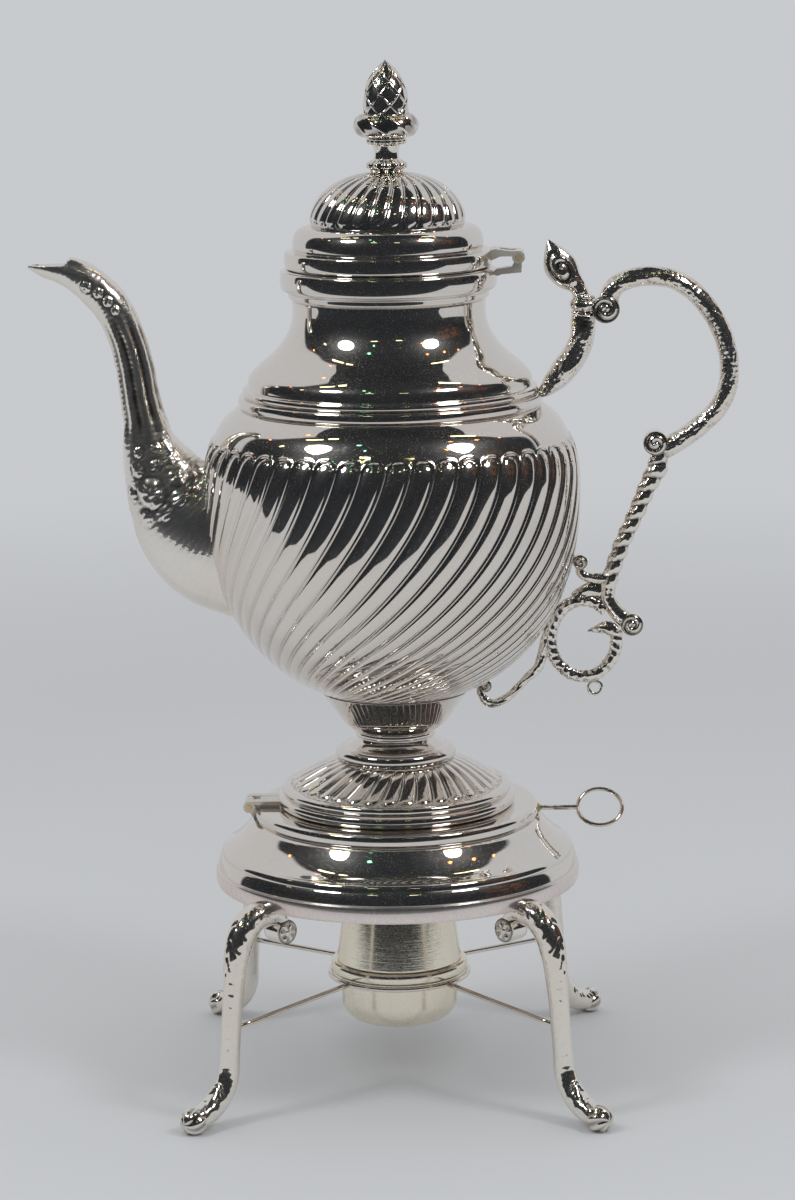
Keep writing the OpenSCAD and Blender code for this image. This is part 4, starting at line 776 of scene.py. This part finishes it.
# The handle, one casting in parts soldered end to end: a leafy arm up from the neck, a knot with a
# leaf for the thumb, a C-scroll with a volute at each end, a husked stem and a finger loop whose
# tail curls against the bowl.
handle_x = bowl_r + 60.8
arm_z = neck_z + 4.3
knot = [handle_x - 59.4, arm_z + 35.6]
knot_r = 5.5
arm_stations = offset(waist_r, arm_z, [
    [-1.4, -0.8, 1.8, 2], [2.2, 2, 3.5, 3.6], [6, 6, 4.9, 4.6]]) + offset(*knot, [
    [-6.9, -25.2, 5.4, 5], [-3.4, -20.3, 5.3, 5], [-0.9, -15.1, 5.2, 4.8], [0, -9.4, 5, 4.6],
    [0.2, -4, 4.6, 4.4]])


def arm_relief(s, a, r):
    x = both_sides(a, r)
    eye = np.hypot((s - 22) / 8, x / 2.6)
    return (worn(s, a) + 0.5 * hump((eye - 1) / 0.22) + leaf(s, x, 1, 30, 5.4, 4, 0.3)
            + 0.35 * np.cos(2 * a) * unit((s - 30) / 6))


chased_silver = plated("chased_silver_plate", bright_silver, yellow_silver, 0.045, 0.14, 0.8, 0.32)
piece("handle_arm", "cast", [bar(arm_stations, arm_relief)], chased_silver, "kettle")
bud_stations = offset(*knot, [
    [-0.6, 3.4, 3.6], [-2.2, 7.4, 3.6], [-6.4, 12, 6, 4.6], [-9.6, 16.8, 6.6, 4.8],
    [-11.8, 21.6, 4.4, 3.6], [-14, 26.6, 0.4]])


def bud_relief(s, a, r):
    x = both_sides(a, r)
    rho, t = np.hypot((s - 14.5) / 5.6, x / 3.4), np.arctan2(x, s - 14.5)
    curl = 0.45 * np.cos(2 * np.pi * 1.15 * rho - t) * unit(2.6 - 1.5 * rho)
    return (worn(s, a, 0.05) + curl + leaf(s, x, 1, 8, 4, 2, 0.4)) * unit(r / 2)


piece("thumb_leaf", "cast", [bar(bud_stations, bud_relief)], cast_silver, "kettle")
points, *faces = turned([
    [[0, -4.4]], bead(knot_r - 1.8, 0.7, -4.4, -2.8, 8), bead(knot_r - 2.2, 2.2, -2.6, 2.6),
    bead(knot_r - 1.8, 0.7, 2.8, 4.4, 8), [[0, 4.4]]], 0.15, 96,
    lambda line, a: 0.16 * np.cos(9 * a + 0.5 * line[:, 1:]) + 0.05 * np.cos(5 * a - 1.7 * line[:, 1:]))
g = math.radians(8)
tilt = np.array([[math.cos(g), 0, -math.sin(g)], [0, 1, 0], [math.sin(g), 0, math.cos(g)]])
piece("handle_knot", "cast", [(points @ tilt + [knot[0], 0, knot[1]], *faces)], cast_silver, "kettle")

scroll_t = 4.1
scroll_stations = offset(handle_x, arm_z, [
    [-49, 32.5, 4.8, 4.2], [-48.4, 39.6, 4.2], [-44.4, 44.2, scroll_t], [-37, 46.6, scroll_t],
    [-28, 46.7, scroll_t], [-20, 44.2, scroll_t], [-12, 38, scroll_t], [-5, 28, scroll_t],
    [-1, 17.4, scroll_t], [0, 9, scroll_t], [-0.9, 0.4, scroll_t], [-4.8, -7.6, scroll_t],
    [-12.5, -15, 4.2, scroll_t], [-20.8, -20.8, 4.3, 4], [-27, -24.2, 4.4, 4]])
stem_top = [handle_x - 30.2, arm_z - 21.1]


def scroll_relief(s, a, r):
    x = both_sides(a, r)
    places = [(4, 26, 0), (32, 22, 1.2), (56, 24, -1), (82, 20, 1), (104, 26, 0)]
    leaves = sum(leaf(s, x - side, start, length, 3.4, 4, 0.42) for start, length, side in places)
    return worn(s, a, 0.08) + leaves - 0.12


piece("handle_scroll", "cast", [
    bar(scroll_stations, scroll_relief), volute(handle_x - 50.2, arm_z + 34, 5.7, 9.4),
    volute(stem_top[0], stem_top[1], 5, 9.4, lean=-1)], chased_silver, "kettle")

stem_t = 3.3
stem_stations = offset(*stem_top, [
    [2, -3, 3.4]]) + offset(handle_x, arm_z, [
    [-29.6, -32, 4.2, 3.8], [-32.8, -38, stem_t + 0.4, stem_t], [-39.4, -53.2, stem_t],
    [-44, -63, stem_t], [-48.8, -77, stem_t], [-50, -85, stem_t], [-47.2, -90.6, stem_t],
    [-42, -95.6, stem_t + 0.4, stem_t]])
curl_z = arm_z - 70.4
curl_r = 3
curl_x = float(bowl_radius(curl_z)) + curl_r
curl_stations = offset(handle_x, arm_z, [
    [-48.2, -77.4, 2.4, 2.6]]) + offset(curl_x, curl_z, [
    [5.6, -7, 2.3, 2.5], [0.6, -5.2, 2.1, 2.4], [-0.2, -1, 1.6, 2.2]])


def husk_relief(s, a, r):
    """Overlapping husks: over each 6.3 mm the skin rises from -0.45 to 0.45 and drops again, later
    on the outer side of the bar."""
    place = (s / 6.3 + 0.35 * np.cos(a + 0.5)) % 1
    husked = np.sin(np.pi * place**1.3) ** 0.8 * 0.9 - 0.45
    husked = husked * unit((62 - s) / 5) * unit((s - 3) / 3)
    return worn(s, a, 0.07) + husked + 0.1 * np.cos(7 * a) - 0.05


piece("handle_stem", "cast", [
    bar(stem_stations, husk_relief), bar(curl_stations, lambda s, a, r: worn(s, a, 0.07)),
    volute(handle_x - 40, arm_z - 96.6, 4.6, 8), volute(curl_x, curl_z, curl_r, 5.6, lean=-1)],
    cast_silver, "kettle")

loop = [handle_x - 59.9, arm_z - 103.2]
loop_t = 2.8
eye_r = 1.9
eye_wire_r = 0.8
eye_z = loop[1] - 15.4 - loop_t - eye_r - 0.2
turn = np.radians([48, 70, 92, 114, 136, 160, 184, 208, 232, 256, 280, 304, 328, 352, 374])
loop_stations = np.stack([loop[0] + 13.6 * np.cos(turn), loop[1] + np.where(turn < np.pi, 16.6, 15.4)
                          * np.sin(turn), 0 * turn + loop_t, 0 * turn + loop_t], 1)
prong_stations = offset(*loop, [[13.2, 3.2, 2.8], [9, 5, 2.9, 2.6], [1.6, 3.6, 0.4, 0.6]])
web_stations = offset(*loop, [[9.2, 20.6, 3.4, 2.2], [2.6, 20.8, 3.4, 2.2], [-3.6, 17, 2.8, 2.2]])


def loop_relief(s, a, r):
    return worn(s, a, 0.09) + 0.14 * np.cos(2 * np.pi * s / 3.4 + 2 * np.abs(a)) - 0.05


def fine_relief(s, a, r):
    return (worn(s, a, 0.08) + 0.12 * np.cos(3 * a + 0.8 * s)) * unit(r / 2)


piece("finger_loop", "cast", [
    bar(loop_stations, loop_relief), bar(prong_stations, fine_relief, 0.4),
    bar(web_stations, fine_relief),
    wire(hoop([loop[0] + 4.6, 0, eye_z], eye_r + eye_wire_r, [1, 0, 0], [0, 0, 1], 60), eye_wire_r,
         True)], cast_silver, "kettle")

tail_r = 36.9
tail_curl_r = 2.6
tail_x = tail_r + 0.6
under_z = widest_z - lower_reach * (1 - (tail_r / bowl_r) ** lower_power) ** (1 / lower_power)
tail_z = under_z - tail_curl_r + 0.5
tail_stations = offset(*loop, [
    [-10.8, 9.2, 1.2, 1.8], [-14.4, 5, 1.8, 2.2], [-16.8, -4, 2, 2.2], [-18.6, -11, 2.2],
    [-23.4, -16, 1.9, 2.2]]) + offset(tail_r, tail_z, [
    [10.4, -4.6, 1.8, 2.2], [5.4, -7.4, 1.9, 2.2], [1, -6.6, 2, 2.2], [-1.4, -3, 1.7, 2.2],
    [-0.4, 0, 1.4, 2]])
piece("handle_tail", "cast", [
    bar(tail_stations, fine_relief, sides=48), volute(tail_x, tail_z, tail_curl_r, 5, lean=-1)],
    cast_silver, "kettle")


# The lid: a rim band with a rounded step, a sleeve that drops into the mouth, and a fluted dome.
lid_z = mouth_z + 0.3
step_z = lid_z + 7.3
dome_z = step_z + 10
lid_r = 42.4
lid_step_r = 38.9
dome_r = 31.8
dome_h = 21.2
bezel_r = mouth_r - 0.9
piece("lid_rim", "spun", [turned([
    [[lid_r - 1.4, lid_z]], bead(lid_r - 1.4, 1.4, lid_z + 0.2, step_z - 0.6, 20, 0.4),
    [[lid_step_r - 0.4, step_z]],
    arc([dome_r - 0.6, step_z + 1.4], [lid_step_r - dome_r + 0.6, 8.3], 0, 80, power=0.78),
    offset(dome_r, dome_z, [[0.2, 0], [-2, 0], [-2, -1.6]]),
    [[lid_step_r - sheet - 0.6, step_z + 1], [lid_step_r - sheet - 0.6, lid_z + sheet],
     [bezel_r - sheet, lid_z + sheet], [bezel_r - sheet, lid_z]]])], spun_silver, "lid")
piece("lid_bezel", "spun", [turned(offset(bezel_r, lid_z, [
    [-sheet, -5.5], [-0.4, -5.5], [0, -4.9], [0, 0], [-sheet, 0]]))], spun_silver, "lid")
crown = math.asin(6 / dome_r)
crown_z = dome_z + dome_h * math.cos(crown)
screw_r = 1.6
t = np.linspace(0, 1, 52)[:, None]
across, angle = flute_angles(flutes["dome"])
lean = crown + (np.pi / 2 - crown) * t
swell = np.sin(np.pi * t) * (1.2 - 0.9 * t) / np.hypot(dome_h * np.sin(lean), dome_r * np.cos(lean))
r, z = (dome_r + swell * dome_h) * np.sin(lean), dome_z + (dome_h + swell * dome_r) * np.cos(lean)
arc_length = dome_r * 0.84 * (np.pi / 2 - crown)
under = lobe(across, np.pi * r / flutes["dome"], t * arc_length + 3, (1 - t) * arc_length - 1.2, 3.4)
depth = 1.3 * (0.3 + 0.7 * t)
outer = around(r - depth * under * (0.3 + 0.5 * t), z - depth * under * (0.75 - 0.4 * t),
               angle - np.radians(16) * t)
lean = np.radians([[90], [78], [65], [50], [35]])
lining = around((dome_r - sheet - 1.2) * np.sin(lean), dome_z + (dome_h - 1.6) * np.cos(lean), angle)
crown_rings = around(np.array([[6.8], [screw_r + 0.1], [screw_r + 0.1]]),
                     np.array([[crown_z - 1.4], [crown_z - 1.4], [crown_z]]), angle)
grid = np.concatenate([outer, lining, crown_rings])
piece("lid_dome", "fluted", [skin(grid, np.concatenate(
    [unit(under * 1.6 - 0.6), np.zeros((8, len(angle)))]), ring=True)], fluted_silver, "lid")


# The finial: a cast pineapple in a cup of slanting leaves on a waisted stem, held by a screw.
dome_top_z = dome_z + dome_h
pine_z = dome_top_z + 23.2
pine_h = 21.5
pine_r = 9.2
scales = 7
scale_turns = 2.4
cup_r = 13.1
base_r = 8.2
v, a = np.linspace(0, 1, 150)[:, None], np.arange(240) / 240 * 2 * np.pi
body = pine_r * (1 - v**3.1)
left, right = (np.abs((scales * a / (2 * np.pi) + way * scale_turns * v**0.9) % 1 * 2 - 1)
               for way in (-1, 1))
strap = np.maximum(hump((1 - left) / 0.13), hump((1 - right) / 0.13))
panels = (1 - left**4) * (1 - right**4)
lift = (0.5 * strap + 0.35 * panels - 0.4) * np.clip(body / 5, 0.1, 1)
grid = around(body + lift, pine_z + pine_h * v, a)
finial_silver = plated("finial_silver_plate", bright_silver, (0.9, 0.82, 0.7), 0.035, 0.08, 0.7)
piece("finial_pineapple", "cast", [skin(grid, unit(-1.6 * lift))], finial_silver, "lid")


def cup_relief(line, a):
    """Broad leaves that slant round the cup, a ridge exp(-(cos(5a + kz + 0.6 sin 2a) / 0.3)^2)
    between each two, and small petals round the flange."""
    z = line[:, 1:]
    window = unit((z - pine_z + 9.2) / 1.5) * (line[:, :1] > 8)
    slant = np.cos(5 * a + 0.42 * (z - pine_z) + 0.6 * np.sin(2 * a))
    ridges = 0.5 * hump(slant / 0.3) - 0.25 + 0.12 * np.sin(7 * a - 0.8 * z)
    flange = 0.3 * np.cos(12 * a) * (z < crown_z + 4.6) * (line[:, :1] > 5.5)
    ring = 0.2 * np.cos(18 * a) * (np.abs(z - pine_z + 11) < 1.4) * (line[:, :1] > 6)
    return window * ridges + flange + ring


piece("finial_stem", "cast", [turned([
    [[0, crown_z]], offset(base_r, crown_z, [[-2.2, 0], [-1.6, 1.2]]),
    bead(base_r - 1.3, 1.3, crown_z + 1.5, crown_z + 4.3),
    curve([[5.3, crown_z + 5.6], [5.1, crown_z + 7.4], [5.1, pine_z - 15], [5.6, pine_z - 12.6]], 4),
    bead(7, 1.1, pine_z - 12.2, pine_z - 9.8),
    arc([pine_r, pine_z - 4.7], [cup_r - pine_r, 4.7], -90, 90, 24),
    [[0, pine_z]]], 0.25, 224, cup_relief),
    turned([[0, crown_z - 7], [screw_r, crown_z - 7], [screw_r, crown_z + 1], [0, crown_z + 1]],
           0.2, 48)],
    finial_silver, "lid")


# The floor: a wide pale sheet that takes the object's shadow. Far from the object it is as bright
# as the background, and its polished-metal reflection ends at the near edge, as a table's does.
backdrop_tone = (0.575, 0.59, 0.615, 1)


def sheet_corners(u, v):
    """The corners of a flat sheet whose half sizes are u and v."""
    return [(-u, -v, 0), (u, -v, 0), (u, v, 0), (-u, v, 0)]


floor_mesh = bpy.data.meshes.new("floor")
floor_mesh.from_pydata(sheet_corners(4.0, 4.0), [], [(0, 1, 2, 3)])
placed("floor", floor_mesh)
pale_floor, place = material("pale_floor")
glossy = place.node("LightPath", output="Is Glossy Ray")
x, y = (place.node("SeparateXYZ", {"Vector": place}, axis) for axis in "XY")
far = (x * x + y * y).maths("SQRT").step(0.7, 1.6)
edge = (y * -1 + x * -0.25).step(0.62, 0.66) * glossy
sheet_shader = place.node("BsdfDiffuse", {
    "Color": place.noise(3, 2).mix((0.57, 0.575, 0.585, 1), (0.6, 0.605, 0.615, 1))})
glow = place.node("Emission", {"Color": edge.mix(backdrop_tone, (0.012, 0.015, 0.02, 1))})
share = far.maths("MAXIMUM", edge)
mixed = place.node("MixShader", {0: share, 1: sheet_shader, 2: glow})
place.node("OutputMaterial", {"Surface": mixed})
floor_mesh.materials.append(pale_floor)


# The light: an even pale surround, two round soft lamps high on both sides of the camera, and for
# polished metal the dark room that such a pale sheet stands open to in front.
world = bpy.data.worlds.new("surround")
bpy.context.scene.world = world
world.use_nodes = True
world.node_tree.nodes.clear()
start = Value(world.node_tree, None)
way = start.node("TexCoord", output="Generated")
x, y, z = (way.node("SeparateXYZ", {"Vector": way}, axis) for axis in "XYZ")
level = (x * x + y * y).maths("SQRT")
ceiling = level * z.step(0.5, 0.75) * -0.2 + z.step(0.88, 0.92) * 0.35
dark = (y * -1 + level * 0.42 + ceiling + x * -0.02).step(-0.02, 0.03)
glossy = start.node("LightPath", output="Is Glossy Ray")
seen = start.node("LightPath", output="Is Camera Ray")
aside = way.node("VectorMath", {0: way, 1: (0.88, -0.2, 0.36)}, "Value", operation="DISTANCE")
rust = (1 - aside.step(0.12, 0.36)) * way.noise(9, 3).step(0.4, 0.6)
room = way.noise(5, 3).step(0.4, 0.75).mix((0.007, 0.010, 0.014, 1), (0.018, 0.018, 0.02, 1))
room = (rust * 0.8).mix(room, (0.13, 0.055, 0.025, 1))
colour = glossy.mix((0.74, 0.75, 0.76, 1), dark.mix(backdrop_tone, room))
colour = seen.mix(colour, backdrop_tone)
sky = start.node("Background", {"Color": colour, "Strength": 1.0})
start.node("OutputWorld", {"Surface": sky})


def hung(made, azimuth, height, away, above, lean=0):
    """Hangs a lamp away metres from a point above the table, facing it: towards the direction
    (sin t cos h, -cos t cos h, sin h), with its azimuth t and its height h in degrees."""
    t, h, lean = map(math.radians, (azimuth, height, lean))
    spot = Vector((math.sin(t) * math.cos(h), -math.cos(t) * math.cos(h), math.sin(h))) * away
    made.matrix_world = (
        Matrix.Translation(spot + Vector((0, 0, above))) @ Matrix.Rotation(t, 4, "Z")
        @ Matrix.Rotation(math.pi / 2 - h, 4, "X") @ Matrix.Rotation(lean, 4, "Z"))


for side, name in ((-1, "lamp_left"), (1, "lamp_right")):
    lamp = bpy.data.lights.new(name, "AREA")
    lamp.shape = "DISK"
    lamp.size = 0.34
    lamp.energy = 3.4
    lamp.color = (0.95, 0.98, 1.0)
    lit = placed(name, lamp)
    hung(lit, 57 * side, 46, 1.3, 0.22)
    lit.visible_camera = False


# The small lights of that room, which the mirrors show as streaks and dots: each is a sheet 3 m away
# at an azimuth and a height, with its length, width and lean, in degrees. Only the metal sees them.
yellow, green, orange = (1.0, 0.92, 0.5), (0.25, 1.0, 0.55), (1.0, 0.3, 0.08)
small_lights = [
    (-88, 60, 8, 1.6, 70, yellow), (-83, 68, 4, 2.0, 70, yellow), (97, 63, 11, 1.6, -70, yellow),
    (-86, 37, 3, 1.3, 60, yellow), (-18, 42, 6, 0.9, 0, yellow), (14, 41, 6, 0.9, 0, yellow),
    (-32, 62, 2, 2.0, 0, green), (-20, 50, 1.2, 2.2, 0, green), (-105, 39, 1.5, 1.5, 0, orange),
    (-110, 60, 1.4, 1.4, 0, orange), (64, 60, 1.8, 1.8, 0, orange), (84, 52, 2, 2, 0, orange),
    (100, 44, 1.5, 1.5, 0, orange), (45, 45, 1.2, 2.6, 20, orange)]
far_off = 3
half_degree = far_off * math.pi / 360
for number, (azimuth, height, long, wide, lean, tone) in enumerate(small_lights):
    glass = bpy.data.meshes.new("small_light")
    glass.from_pydata(sheet_corners(long * half_degree, wide * half_degree), [], [(0, 1, 2, 3)])
    glowing, place = material("small_light_glow")
    glow = place.node("Emission", {"Color": (*tone, 1), "Strength": 6.0})
    place.node("OutputMaterial", {"Surface": glow})
    glowing.cycles.emission_sampling = "NONE"
    glass.materials.append(glowing)
    shown = placed(f"small_light_{number}", glass)
    hung(shown, azimuth, height, far_off, 0.25, lean)
    shown.visible_camera = shown.visible_diffuse = shown.visible_shadow = False


# The camera, where the photograph was taken from: 1.6 m away and half a metre up, looking down 11
# degrees, a little to the right of the kettle's front, and not quite upright.
camera = bpy.data.cameras.new("camera")
camera.sensor_width = 36
camera.lens = 114
camera.shift_x = 4 / 1200
eye = placed("camera", camera)
orbit, pitch, roll = (math.radians(degrees) for degrees in (1.5, 90 - 10.95, -0.9))
eye.matrix_world = (Matrix.Rotation(orbit, 4, "Z") @ Matrix.Translation((0, -1.54, 0.5))
                    @ Matrix.Rotation(pitch, 4, "X") @ Matrix.Rotation(roll, 4, "Z"))
bpy.context.scene.camera = eye
bpy.context.scene.view_settings.view_transform = "Standard"
